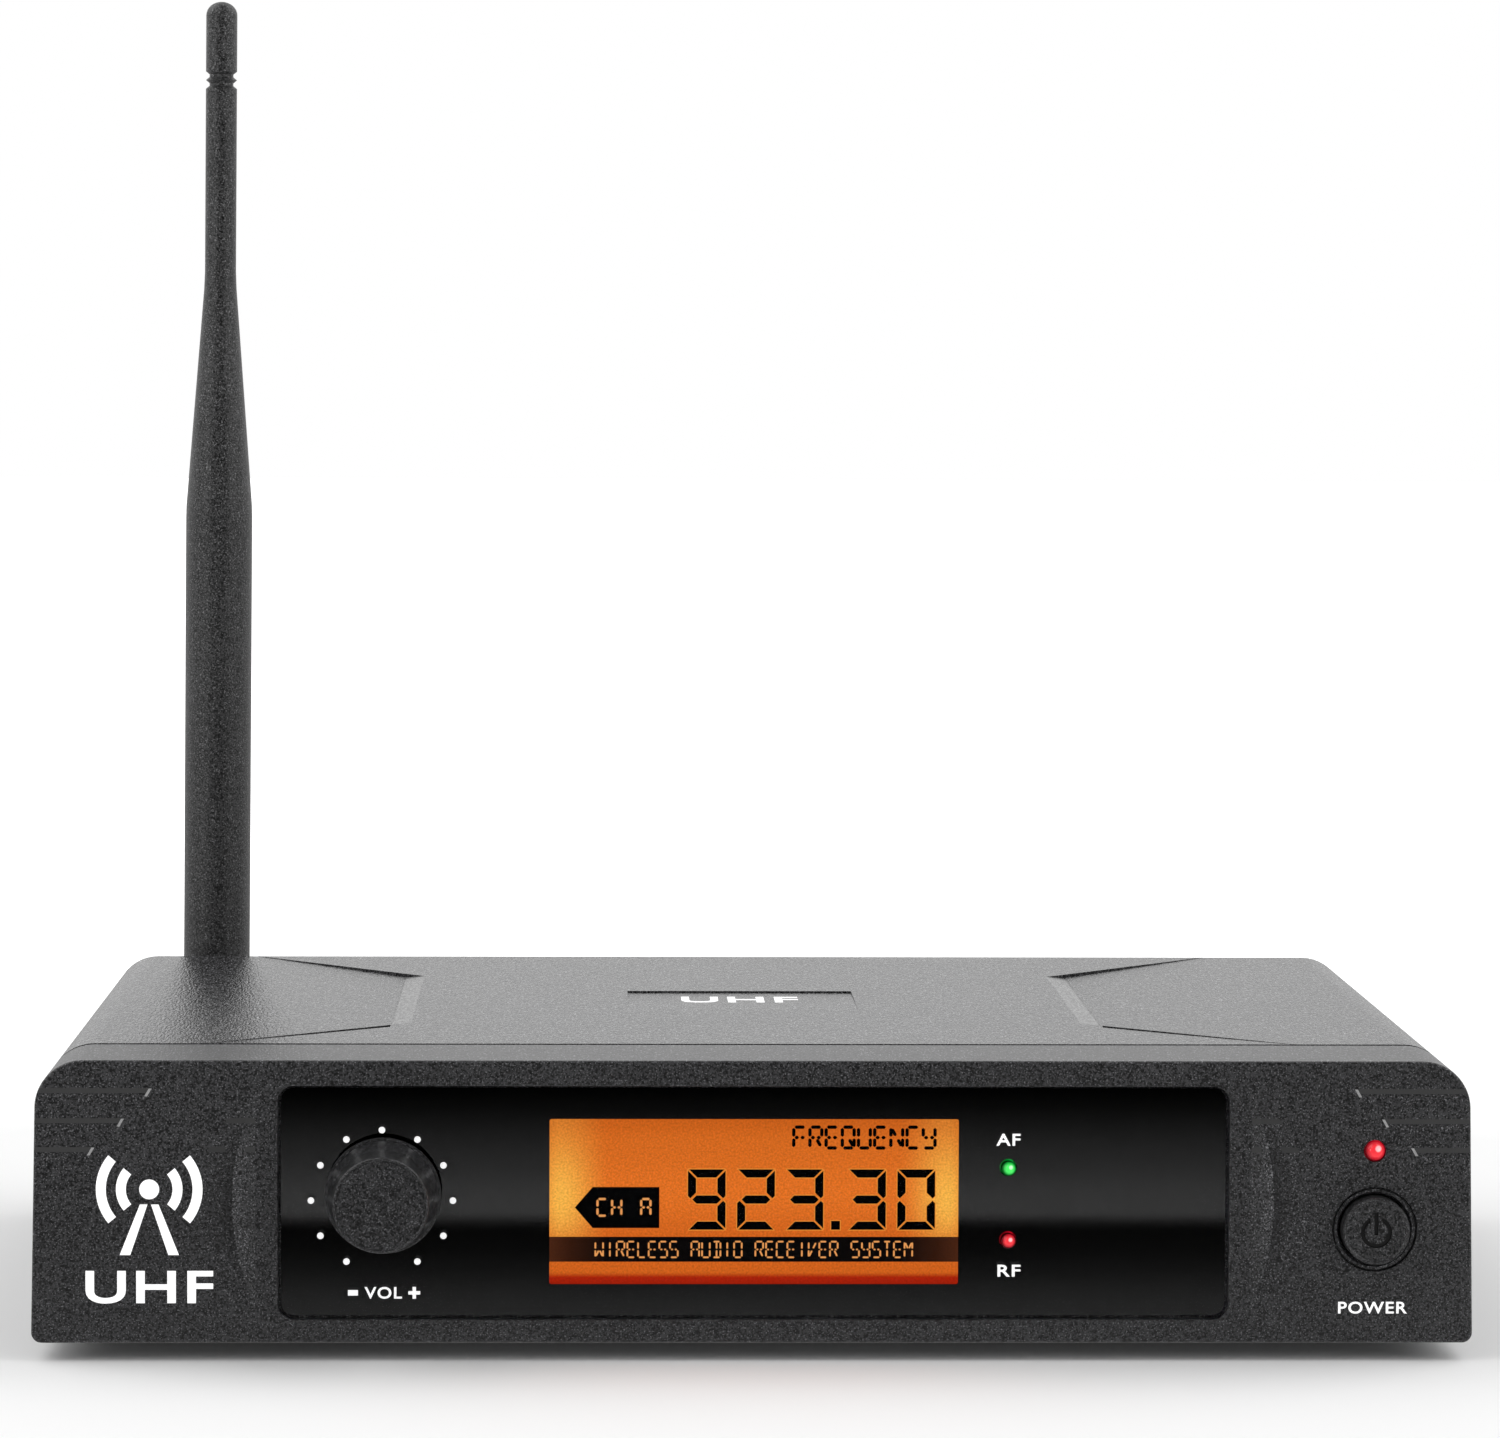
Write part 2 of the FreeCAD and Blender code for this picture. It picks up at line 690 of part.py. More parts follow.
def pcb_screws():
    screws = []
    for side in SIDES:
        for depth in standoff_depths:
            x = side * standoff_x
            head = rod_z(x, depth, 2.7, main_board_top, main_board_top + 1.8)
            head = head.cut(cross_slot(x, depth, main_board_top + 1.0, main_board_top + 3))
            shank = rod_z(x, depth, screw_radius, main_board_z - 4.0, main_board_top + 0.1)
            screws.append(fuse([head, shank]))
    return group(screws)


def ribbon_headers():
    half, thick, tall = ribbon_half + 1, 2.5, 6.0
    d0, z0 = control_back, main_board_top
    upper = block(-half, half, d0, d0 + tall, ribbon_z - thick, ribbon_z + thick)
    lower = block(-half, half, ribbon_drop - thick, ribbon_drop + thick, z0, z0 + tall)
    return group([upper, lower])


def ribbon_cable():
    """A flat cable: straight back from the control board, then down in one bend."""
    thick, bend = 0.9, 8.0
    start, bottom = control_back + 6, main_board_top + 6
    outer_d, outer_z = ribbon_drop + thick / 2, ribbon_z + thick / 2
    inner_d, inner_z = outer_d - thick, outer_z - thick
    corners = [
        (start, outer_z), (outer_d, outer_z), (outer_d, bottom), (inner_d, bottom), (inner_d, inner_z),
        (start, inner_z),
    ]
    tiny = 0.05
    radii = [tiny, bend + thick, tiny, tiny, bend, tiny]
    wire = rounded_wire(corners, radii, lambda u, v: point(-ribbon_half, u, v))
    return Part.Face(wire).extrude(FreeCAD.Vector(2 * ribbon_half, 0, 0))


def rf_shield_can():
    """A drawn metal lid over the radio section, open where it meets the board."""
    outer = [can_low, (can_high[0], can_low[1]), can_high, (can_low[0], can_high[1])]
    t = 0.5
    inner = [
        (can_low[0] + t, can_low[1] + t), (can_high[0] - t, can_low[1] + t),
        (can_high[0] - t, can_high[1] - t), (can_low[0] + t, can_high[1] - t),
    ]
    top = main_board_top + can_height
    lid = plan(outer, 1.0, main_board_top, top)
    return lid.cut(plan(inner, 0.5, main_board_top - 1, top - t))


def capacitors():
    """Upright electrolytic capacitors with a groove near the base of each can."""
    cans = []
    large, middle, small = (5.0, 12.5), (4.0, 11.5), (3.15, 11.0)      # radius and height
    places = ((56, 70, large), (44, 70, middle), (56, 84, middle), (20, 118, small), (-24, 118, small))
    for x, depth, (radius, height) in places:
        can = rod_z(x, depth, radius, main_board_top, main_board_top + height)
        groove = rod_z(x, depth, radius + 1, main_board_top + 1.4, main_board_top + 2.0)
        groove = groove.cut(rod_z(x, depth, radius - 0.35, main_board_top, main_board_top + 3))
        cans.append(can.cut(groove))
    return group(cans)


def chip_places():
    """Centre in X and depth, width and length of each integrated circuit."""
    return ((0, 80, 14, 14), (22, 90, 9, 6), (-20, 92, 9, 6), (0, 104, 12, 8))


def ic_packages():
    chips = []
    low, high = main_board_top + 0.15, main_board_top + 1.9
    for x, depth, width, length in chip_places():
        d0, d1 = depth - length / 2, depth + length / 2
        chips.append(block(x - width / 2, x + width / 2, d0, d1, low, high))
    return group(chips)


def ic_leads():
    """Gull-wing leads along the two long sides of each package."""
    leads = []
    pitch = 1.27
    for x, depth, width, length in chip_places():
        count = int((width - 1) / pitch)
        for i in range(count):
            lead_x = x + (i - (count - 1) / 2) * pitch
            for side in SIDES:
                near = depth + side * length / 2
                far = near + side * 1.3
                d0, d1 = sorted((near, far))
                top = main_board_top + 0.3
                leads.append(block(lead_x - 0.2, lead_x + 0.2, d0, d1, main_board_top, top))
    return group(leads)


def voltage_regulator():
    """A three-legged power package standing against the heat sink."""
    x, d, z = regulator_x, regulator_depth, main_board_top
    body = block(x - 5.0, x + 5.0, d - 2.2, d + 1.0, z + 4.0, z + 13.0)
    tab = block(x - 5.0, x + 5.0, d + 1.0, d + 2.3, z + 4.0, z + 19.0)
    legs = [block(x + s * 2.54 - 0.4, x + s * 2.54 + 0.4, d - 0.6, d, z, z + 4.0) for s in (-1, 0, 1)]
    return fuse([body, tab] + legs)


def regulator_heatsink():
    x, z = regulator_x, main_board_top
    base = block(x - 9, x + 9, sink_front, sink_front + 2, z, z + sink_height)
    fins = []
    for i in range(-2, 3):
        fin_x = x + i * 3.2
        fins.append(block(fin_x - 0.6, fin_x + 0.6, sink_front + 2, sink_front + 9, z, z + sink_height))
    return fuse([base] + fins)


# Rear panel and connectors

def rear_panel():
    inset = wall + play
    panel = case_section(inset, panel_in, panel_out)
    holes = [
        rod_y(xlr_x, xlr_z, 11.2, panel_in - 1, panel_out + 1),
        rod_y(jack_x, port_z, 5.1, panel_in - 1, panel_out + 1),
        rod_y(dc_x, dc_z, 4.3, panel_in - 1, panel_out + 1),
        rod_y(antenna_x, port_z, antenna_bore, panel_in - 1, panel_out + 1),
    ]
    holes += [rod_y(x, z, 1.3, panel_in - 1, panel_out + 1) for x, z in xlr_screw_places()]
    return panel.cut(holes)


def xlr_screw_places():
    return [(xlr_x + s * 9.5, xlr_z - s * 12.0) for s in SIDES]


def xlr_shell():
    """Square flange with a round cup that the mating plug enters, keyed at its foot."""
    z = xlr_z
    flange = slab(rectangle(xlr_x, z, 26.0, 31.0), 3.0, panel_out, panel_out + flange_thickness)
    cup = rod_y(xlr_x, z, 11.0, panel_out - xlr_depth - 1.5, panel_out + 0.1)
    body = fuse([flange, cup])
    mouth = rod_y(xlr_x, z, xlr_cup, panel_out + flange_thickness - xlr_depth, panel_out + 5)
    back = rod_y(xlr_x, z, 8.0, panel_out - xlr_depth - 3, panel_out)
    keyway = block(
        xlr_x - 1.6, xlr_x + 1.6, panel_out - 8, panel_out + 5, z + xlr_cup - 0.5, z + xlr_cup + 0.9
    )
    screws = [rod_y(x, sz, 1.6, panel_out - 1, panel_out + 5) for x, sz in xlr_screw_places()]
    return body.cut([mouth, back, keyway] + screws)


def xlr_pin_places():
    radius = 4.0
    angles = [math.radians(a) for a in (30, 150, 270)]
    return [(xlr_x + radius * math.cos(a), xlr_z + radius * math.sin(a)) for a in angles]


def xlr_insert():
    disc = rod_y(xlr_x, xlr_z, xlr_cup - 0.05, insert_front - 2.6, insert_front)
    stub = rod_y(xlr_x, xlr_z, 7.95, insert_front - 6.0, insert_front - 2.5)
    holes = [rod_y(x, z, 1.2, insert_front - 7, insert_front + 1) for x, z in xlr_pin_places()]
    return fuse([disc, stub]).cut(holes)


def xlr_pins():
    pins = []
    for x, z in xlr_pin_places():
        shank = rod_y(x, z, 1.2, insert_front - 8.0, insert_front + 9.2)
        nose = Part.makeSphere(1.2, point(x, insert_front + 9.2, z))
        pins.append(fuse([shank, nose]))
    return group(pins)


def xlr_screws():
    screws = []
    for x, z in xlr_screw_places():
        start = panel_out + flange_thickness
        head = cone_y(x, z, 2.7, 2.2, start, start + 1.3)
        slot_a = block(x - 1.4, x + 1.4, start + 0.5, start + 2, z - 0.25, z + 0.25)
        slot_b = block(x - 0.25, x + 0.25, start + 0.5, start + 2, z - 1.4, z + 1.4)
        shank = rod_y(x, z, 1.25, panel_in - 4, start + 0.1)
        screws.append(fuse([head.cut([slot_a, slot_b]), shank]))
    return group(screws)


def jack_body():
    """A quarter-inch socket: moulded box, threaded nose and three board pins."""
    box = block(jack_x - 8, jack_x + 8, jack_body_start, panel_in - 0.1, port_z - 8, port_z + 8)
    nose = rod_y(jack_x, port_z, 5.0, panel_in - 0.2, jack_nose)
    pins = []
    for i in range(3):
        depth = jack_body_start + 2.5 + i * 5.0
        pins.append(block(jack_x - 0.6, jack_x + 0.6, depth, depth + 0.6, main_board_top, port_z - 7.9))
    bore = rod_y(jack_x, port_z, jack_bore, jack_body_start + 1.5, jack_nose + 1)
    return fuse([box, nose] + pins).cut(bore)


def jack_washer():
    ring = rod_y(jack_x, port_z, 7.2, panel_out, panel_out + 0.6)
    return ring.cut(rod_y(jack_x, port_z, 5.05, panel_out - 1, panel_out + 2))


def jack_nut():
    nut = hexagon_y(jack_x, port_z, 13.0, panel_out + 0.6, panel_out + 3.0)
    chamfer = cone_y(jack_x, port_z, 8.2, 6.2, panel_out + 1.4, panel_out + 3.4)
    nut = nut.common(chamfer.fuse(rod_y(jack_x, port_z, 8.2, panel_out, panel_out + 1.4)))
    return nut.cut(rod_y(jack_x, port_z, 5.02, panel_out - 1, panel_out + 5))


def dc_jack_body():
    """Barrel power inlet: a box on the board with a round nose through the panel."""
    top = main_board_top + 11.0
    box = block(dc_x - 4.5, dc_x + 4.5, panel_in - 12.0, panel_in - 0.1, main_board_top, top)
    nose = rod_y(dc_x, dc_z, 4.2, panel_in - 0.2, panel_out + 0.4)
    room = rod_y(dc_x, dc_z, 3.15, panel_in - 9.5, panel_out + 2)
    back = rod_y(dc_x, dc_z, 1.0, panel_in - 11.5, panel_in - 9)
    return fuse([box, nose]).cut([room, back])


def dc_jack_pin():
    shank = rod_y(dc_x, dc_z, 1.0, panel_in - 11.5, panel_out - 1.5)
    return fuse([shank, Part.makeSphere(1.0, point(dc_x, panel_out - 1.5, dc_z))])


# Antenna

def antenna_connector():
    """Panel connector: flange inside, threaded barrel outside, solder tail to the coaxial lead."""
    inside = rod_y(antenna_x, port_z, 4.9, panel_in - 3.0, panel_in)
    barrel = rod_y(antenna_x, port_z, 4.0, panel_in - 0.1, connector_tip)
    socket = rod_y(antenna_x, port_z, 1.9, connector_tip - 5.5, connector_tip + 1)
    contact = rod_y(antenna_x, port_z, 0.6, connector_tip - 6.0, connector_tip - 0.8)
    body = fuse([inside, barrel]).cut(socket)
    threads = []
    for i in range(2):
        depth = connector_tip - 1.6 + i * 0.8
        ring = rod_y(antenna_x, port_z, 5, depth, depth + 0.35)
        threads.append(ring.cut(rod_y(antenna_x, port_z, 3.75, depth - 1, depth + 2)))
    return fuse([body.cut(threads), contact])


def antenna_connector_nut():
    nut = hexagon_y(antenna_x, port_z, 10.5, panel_out, panel_out + 2.2)
    return nut.cut(rod_y(antenna_x, port_z, 4.02, panel_out - 1, panel_out + 4))


def antenna_coax():
    """Thin coaxial lead from the connector's tail, forward and down to the main board."""
    radius, bend = 1.4, 8.0
    tail, corner = panel_in - 3.0, 119.0
    turn_in, turn_out = corner + bend, port_z - bend
    angle = math.sqrt(0.5)
    path = Part.Wire([
        Part.makeLine(point(antenna_x, tail, port_z), point(antenna_x, turn_in, port_z)),
        Part.Arc(
            point(antenna_x, turn_in, port_z),
            point(antenna_x, turn_in - bend * angle, turn_out + bend * angle),
            point(antenna_x, corner, turn_out),
        ).toShape(),
        Part.makeLine(point(antenna_x, corner, turn_out), point(antenna_x, corner, main_board_top)),
    ])
    section = Part.Wire(Part.makeCircle(radius, point(antenna_x, tail, port_z), Y))
    return path.makePipeShell([section], True, False)


def antenna_coupling_nut():
    """Knurled ring that screws the antenna to the connector."""
    ring = rod_y(antenna_x, port_z, 5.7, coupling_start, coupling_end)
    grooves = []
    count = 24
    for i in range(count):
        a = 2 * math.pi * i / count
        x, z = antenna_x + 5.85 * math.cos(a), port_z + 5.85 * math.sin(a)
        grooves.append(rod_y(x, z, 0.45, coupling_start + 0.8, coupling_end - 0.8))
    ring = ring.cut(grooves)
    cavity = rod_y(antenna_x, port_z, 4.05, coupling_start - 1, coupling_end - 1.2)
    mouth = rod_y(antenna_x, port_z, 3.25, coupling_end - 2, coupling_end + 1)
    return ring.cut([cavity, mouth])


def antenna_swivel_base():
    """Swivel foot: a stub that turns in the coupling nut and a fork for the mast's tongue."""
    neck = rod_y(antenna_x, port_z, 3.2, coupling_end - 2.0, base_start + 0.2)
    head = rod_y(antenna_x, port_z, 3.8, coupling_end - 2.6, coupling_end - 1.5)
    disc = rod_y(antenna_x, port_z, 5.7, base_start, base_start + 1.6)
    cheeks = []
    for side in SIDES:
        x0, x1 = sorted((antenna_x + side * cheek_inner, antenna_x + side * cheek_outer))
        web = block(x0, x1, base_start + 1.0, pivot_depth, port_z - cheek_radius, port_z + cheek_radius)
        web = web.common(rod_y(antenna_x, port_z, 5.7, base_start, pivot_depth + 1))
        eye = rod_x(pivot_depth, port_z, cheek_radius, x0, x1)
        cheeks += [web, eye]
    body = fuse([neck, head, disc] + cheeks)
    return body.cut(rod_x(pivot_depth, port_z, pin_radius, antenna_x - 8, antenna_x + 8))


def antenna_hinge_pin():
    half = cheek_outer - 0.1
    return rod_x(pivot_depth, port_z, pin_radius, antenna_x - half, antenna_x + half)


def antenna_mast():
    """Moulded rod: tongue at the pivot, thick lower half, taper, thin upper half, domed tip."""
    crown = 2.3
    notch_depth, floor_half, notch_half = 0.62, 0.22, 0.74
    ridge_z = tip_z - 13.3
    profile = [(rod_hole, mast_start - 1.0), (mast_radius - 1.2, mast_start - 1.0)]
    profile += [(mast_radius, mast_start + 0.6), (mast_radius, taper_start_z - 2.0)]
    profile.append((mast_radius - 0.06, taper_start_z))
    profile += [(tip_radius + 0.12, taper_end_z - 1.0), (tip_radius, taper_end_z + 2.0)]
    for z in (ridge_z - notch_half, ridge_z + notch_half):
        profile += [(tip_radius, z - notch_half), (tip_radius - notch_depth, z - floor_half)]
        profile.append((tip_radius - notch_depth, z + floor_half))
    profile.append((tip_radius, ridge_z + 2 * notch_half))
    steps = 8
    for i in range(steps + 1):
        a = math.pi / 2 * i / steps
        profile.append((tip_radius * math.cos(a), tip_z - crown + crown * math.sin(a)))
    profile += [(0.0, tip_z - 8.0), (rod_hole, tip_z - 8.0)]
    points = [point(antenna_x + r, pivot_depth, z) for r, z in profile]
    rod = Part.Face(Part.makePolygon(points + [points[0]])).revolve(points[0] - X * rod_hole, Z, 360)
    x0, x1 = antenna_x - tongue_half, antenna_x + tongue_half
    eye = rod_x(pivot_depth, port_z, 4.4, x0, x1)
    web = block(x0, x1, pivot_depth - 4.4, pivot_depth + 4.4, port_z, mast_start + 1.0)
    room = block(antenna_x - 9, antenna_x + 9, pivot_depth - 9, pivot_depth + 9, port_z - 9, mast_start)
    room = room.fuse(rod_z(antenna_x, pivot_depth, mast_radius - 0.5, mast_start, mast_start + 4))
    rod = rod.cut(rod_z(antenna_x, pivot_depth, 8, port_z - 5, mast_start - 0.5))
    body = fuse([rod, web.common(room), eye])
    body = body.cut(rod_z(antenna_x, pivot_depth, rod_hole, mast_start + 1.5, tip_z - 9))
    return body.cut(rod_x(pivot_depth, port_z, pin_radius + 0.05, antenna_x - 8, antenna_x + 8))


def antenna_radiator():
    return rod_z(antenna_x, pivot_depth, rod_hole - 0.1, mast_start + 2.0, tip_z - 10.0)


def leaning(shape):
    """The shape turned about the antenna connector's axis by the lean of the antenna at rest."""
    turned = shape.copy()
    turned.rotate(point(antenna_x, pivot_depth, port_z), Y, antenna_lean)
    return turned


shell = case_shell()
nodes["front_bezel"] = front_bezel()
nodes["window_lens"] = window_lens()
nodes["window_mask_film"] = window_mask_film()
nodes["top_cover"] = top_cover(shell)
nodes["bottom_tray"] = bottom_tray(shell)
nodes["rear_panel"] = rear_panel()
nodes["rubber_feet"] = rubber_feet()
nodes["case_screws"] = case_screws()
nodes["lcd_glass"] = lcd_glass()
nodes["lcd_backlight"] = lcd_backlight()
nodes["lcd_frame"] = lcd_frame()
nodes["control_pcb"] = control_pcb()
nodes["power_led"] = led(power_led_x, power_led_z, power_led_radius, -1.0)
nodes["af_led"] = led(signal_led_x, af_led_z, signal_led_radius, -0.45)
nodes["rf_led"] = led(signal_led_x, rf_led_z, signal_led_radius, -0.45)
nodes["led_spacers"] = led_spacers()
nodes["pot_body"] = pot_body()
nodes["power_switch_body"] = power_switch_body()
nodes["ribbon_cable"] = ribbon_cable()
nodes["ribbon_headers"] = ribbon_headers()
nodes["main_pcb"] = main_pcb()
nodes["pcb_screws"] = pcb_screws()
nodes["rf_shield_can"] = rf_shield_can()
nodes["capacitors"] = capacitors()
nodes["ic_packages"] = ic_packages()
nodes["ic_leads"] = ic_leads()
nodes["voltage_regulator"] = voltage_regulator()
nodes["regulator_heatsink"] = regulator_heatsink()
nodes["xlr_shell"] = xlr_shell()
nodes["xlr_insert"] = xlr_insert()
nodes["xlr_pins"] = xlr_pins()
nodes["xlr_screws"] = xlr_screws()
nodes["jack_body"] = jack_body()
nodes["jack_washer"] = jack_washer()
nodes["jack_nut"] = jack_nut()
nodes["dc_jack_body"] = dc_jack_body()
nodes["dc_jack_pin"] = dc_jack_pin()
nodes["antenna_connector"] = antenna_connector()
nodes["antenna_connector_nut"] = antenna_connector_nut()
nodes["antenna_coax"] = antenna_coax()
nodes["antenna_coupling_nut"] = antenna_coupling_nut()
nodes["volume_knob"] = volume_knob()
nodes["volume_shaft"] = volume_shaft()
nodes["power_button_cap"] = power_button_cap()
nodes["power_switch_plunger"] = power_switch_plunger()
nodes["antenna_swivel_base"] = leaning(antenna_swivel_base())
nodes["antenna_hinge_pin"] = leaning(antenna_hinge_pin())
nodes["antenna_mast"] = leaning(antenna_mast())
nodes["antenna_radiator"] = leaning(antenna_radiator())

os.makedirs("parts", exist_ok=True)
for name, shape in nodes.items():
    solids = shape.Solids
    whole = solids[0] if len(solids) == 1 else Part.makeCompound(solids)
    whole.exportStep("parts/" + name + ".step")
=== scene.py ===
"""Looks of the wireless receiver unit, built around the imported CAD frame.

Blender's objects are in metres, in the frame of the CAD model: X to the right seen
from the front, the front faces -Y, Z up, and the feet stand on Z = 0. The unit's own
sizes are written in millimetres, and those of the floor and the lights in metres.
"""
import json
import math

import bmesh
import bpy
from mathutils import Matrix, Vector

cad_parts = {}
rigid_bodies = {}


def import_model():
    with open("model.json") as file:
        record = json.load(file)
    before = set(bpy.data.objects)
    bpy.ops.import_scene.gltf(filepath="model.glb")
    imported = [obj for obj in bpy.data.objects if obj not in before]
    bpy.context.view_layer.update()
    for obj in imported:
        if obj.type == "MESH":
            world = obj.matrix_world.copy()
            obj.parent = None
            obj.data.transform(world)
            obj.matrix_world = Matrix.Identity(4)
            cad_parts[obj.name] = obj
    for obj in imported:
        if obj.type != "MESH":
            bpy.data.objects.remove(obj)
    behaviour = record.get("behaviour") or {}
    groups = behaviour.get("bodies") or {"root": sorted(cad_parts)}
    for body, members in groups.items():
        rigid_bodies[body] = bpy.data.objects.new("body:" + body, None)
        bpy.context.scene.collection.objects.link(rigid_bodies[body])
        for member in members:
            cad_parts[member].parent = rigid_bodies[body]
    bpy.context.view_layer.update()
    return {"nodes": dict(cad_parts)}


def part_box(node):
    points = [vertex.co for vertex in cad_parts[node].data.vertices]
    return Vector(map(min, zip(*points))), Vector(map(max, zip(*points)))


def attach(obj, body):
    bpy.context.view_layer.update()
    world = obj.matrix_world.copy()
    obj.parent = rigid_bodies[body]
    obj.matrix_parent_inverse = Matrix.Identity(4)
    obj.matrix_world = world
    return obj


MM = 0.001

for leftover in list(bpy.data.objects):
    bpy.data.objects.remove(leftover)

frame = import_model()

scene = bpy.context.scene
scene.view_settings.view_transform = "Standard"
scene.view_settings.look = "None"


# Places read from the frame, in millimetres

def edges(node):
    """Lowest and highest corner of a CAD node, in millimetres."""
    low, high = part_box(node)
    return low / MM, high / MM


def middle_of(node):
    """X and Z of the middle of a CAD node, in millimetres."""
    low, high = edges(node)
    return (low.x + high.x) / 2, (low.z + high.z) / 2


FRONT = edges("front_bezel")[0].y
FILM_FACE = edges("window_mask_film")[0].y
LENS_FACE = edges("window_lens")[0].y
GLASS_FACE = edges("lcd_glass")[0].y
BUTTON_FACE = edges("power_button_cap")[0].y
ROOF = edges("top_cover")[1].z
FLOOR_GAP = edges("bottom_tray")[0].z
KNOB_X, KNOB_Z = middle_of("volume_knob")
BUTTON_X, BUTTON_Z = middle_of("power_button_cap")
SIGNAL_X, AF_Z = middle_of("af_led")
RF_Z = middle_of("rf_led")[1]
DISPLAY_Z = middle_of("lcd_glass")[1]
DISPLAY_HALF_WIDTH = 29.8           # of the clear opening in the window's black print
DISPLAY_HALF_HEIGHT = 12.1
INK = 0.03                          # thickness of printed ink


# Node helpers

def new_material(name):
    material = bpy.data.materials.new(name)
    material.use_nodes = True
    tree = material.node_tree
    shader = tree.nodes["Principled BSDF"]
    return material, tree, shader


def rgba(colour, share=1.0):
    """A colour with alpha 1, scaled by share; a plain number stands for a grey."""
    channels = (colour,) * 3 if isinstance(colour, (int, float)) else colour[:3]
    return tuple(channel * share for channel in channels) + (1,)


def feed(tree, value, socket):
    """Link a node's output to a socket, or set the socket to a plain value."""
    if isinstance(value, bpy.types.NodeSocket):
        tree.links.new(value, socket)
    else:
        socket.default_value = value


def settings(tree, node, **values):
    """Feed some of a node's sockets; a socket's name is written with underscores."""
    for key, value in values.items():
        label = key.replace("_", " ")
        socket = next(s for s in node.inputs if s.name.lower() == label)
        feed(tree, value, socket)


def add(tree, kind, **values):
    """A new node with some of its sockets fed."""
    node = tree.nodes.new(kind)
    settings(tree, node, **values)
    return node


def ramp(tree, source, stops, mode="LINEAR"):
    """A colour ramp over source; stops are (place, colour), where a number is a grey."""
    node = tree.nodes.new("ShaderNodeValToRGB")
    node.color_ramp.interpolation = mode
    points = node.color_ramp.elements
    while len(points) < len(stops):
        points.new(0.5)
    for point, (place, colour) in zip(points, stops):
        point.position = place
        point.color = rgba(colour)
    tree.links.new(source, node.inputs["Fac"])
    return node.outputs["Color"]


def coordinates(tree):
    return tree.nodes.new("ShaderNodeTexCoord").outputs["Object"]


def axes(tree, vector):
    """The X, Y and Z of a vector as three values."""
    split = add(tree, "ShaderNodeSeparateXYZ", vector=vector)
    return split.outputs["X"], split.outputs["Y"], split.outputs["Z"]


def noise(tree, size, detail=2.0, stretch=None):
    """Noise with features of about size millimetres, in the object's own coordinates."""
    source = coordinates(tree)
    if stretch:
        mapping = add(tree, "ShaderNodeMapping", vector=source, scale=stretch)
        source = mapping.outputs["Vector"]
    node = add(tree, "ShaderNodeTexNoise", vector=source, scale=1.0 / (size * MM), detail=detail)
    return node.outputs["Fac"]


def cells(tree, size):
    """Distance from the middles of cells about size millimetres apart."""
    node = add(tree, "ShaderNodeTexVoronoi", vector=coordinates(tree), scale=1.0 / (size * MM))
    return node.outputs["Distance"]


def math_node(tree, operation, *values):
    node = tree.nodes.new("ShaderNodeMath")
    node.operation = operation
    for value, socket in zip(values, node.inputs):
        feed(tree, value, socket)
    return node.outputs["Value"]


def times(tree, first, second):
    return math_node(tree, "MULTIPLY", first, second)


def scaled(tree, source, low, high, start=0.0, end=1.0):
    """Low to high while source goes from start to end."""
    node = add(
        tree, "ShaderNodeMapRange", value=source, from_min=start, from_max=end, to_min=low, to_max=high,
    )
    return node.outputs["Result"]


def from_noise(tree, source, low, high):
    """Noise drawn out to lie between low and high; its own values are mostly 0.3 to 0.7."""
    return scaled(tree, source, low, high, 0.3, 0.7)


def progress(tree, value, start, end):
    """0 to 1 while value goes from start to end, which are given in millimetres."""
    return scaled(tree, value, 0.0, 1.0, start * MM, end * MM)


def between(tree, value, low, high):
    """1 where the value lies between two places given in millimetres, else 0."""
    above = math_node(tree, "GREATER_THAN", value, low * MM)
    below = math_node(tree, "LESS_THAN", value, high * MM)
    return times(tree, above, below)


def parts_of(tree):
    """Distance from the middle plane, depth and height as three values."""
    across, depth, height = axes(tree, coordinates(tree))
    return math_node(tree, "ABSOLUTE", across), depth, height


def grained(tree, size, detail, roof_stretch=None):
    """Noise for moulded grain; on faces that look up it can be drawn out."""
    fine = noise(tree, size, detail)
    if not roof_stretch:
        return fine
    normal = tree.nodes.new("ShaderNodeNewGeometry").outputs["Normal"]
    upward = math_node(tree, "GREATER_THAN", axes(tree, normal)[2], 0.7)
    change = math_node(tree, "SUBTRACT", noise(tree, size, detail, roof_stretch), fine)
    return math_node(tree, "ADD", fine, times(tree, change, upward))


def blend_colours(tree, factor, first, second, mode="MIX"):
    node = tree.nodes.new("ShaderNodeMix")
    node.data_type = "RGBA"
    node.blend_type = mode
    for value, socket in ((factor, 0), (first, 6), (second, 7)):
        feed(tree, value, node.inputs[socket])
    return node.outputs[2]


def shaded(tree, colour, factor):
    """A colour multiplied by a factor."""
    return blend_colours(tree, 1.0, colour, factor, "MULTIPLY")


def choice(tree, factor, first, second):
    """The first shader where factor is 0, and the second one where it is 1."""
    node = tree.nodes.new("ShaderNodeMixShader")
    for source, socket in zip((factor, first, second), node.inputs):
        tree.links.new(source, socket)
    return node.outputs[0]


def bump(tree, shader, height, strength, distance):
    node = add(tree, "ShaderNodeBump", strength=strength, distance=distance * MM, height=height)
    tree.links.new(node.outputs["Normal"], shader.inputs["Normal"])
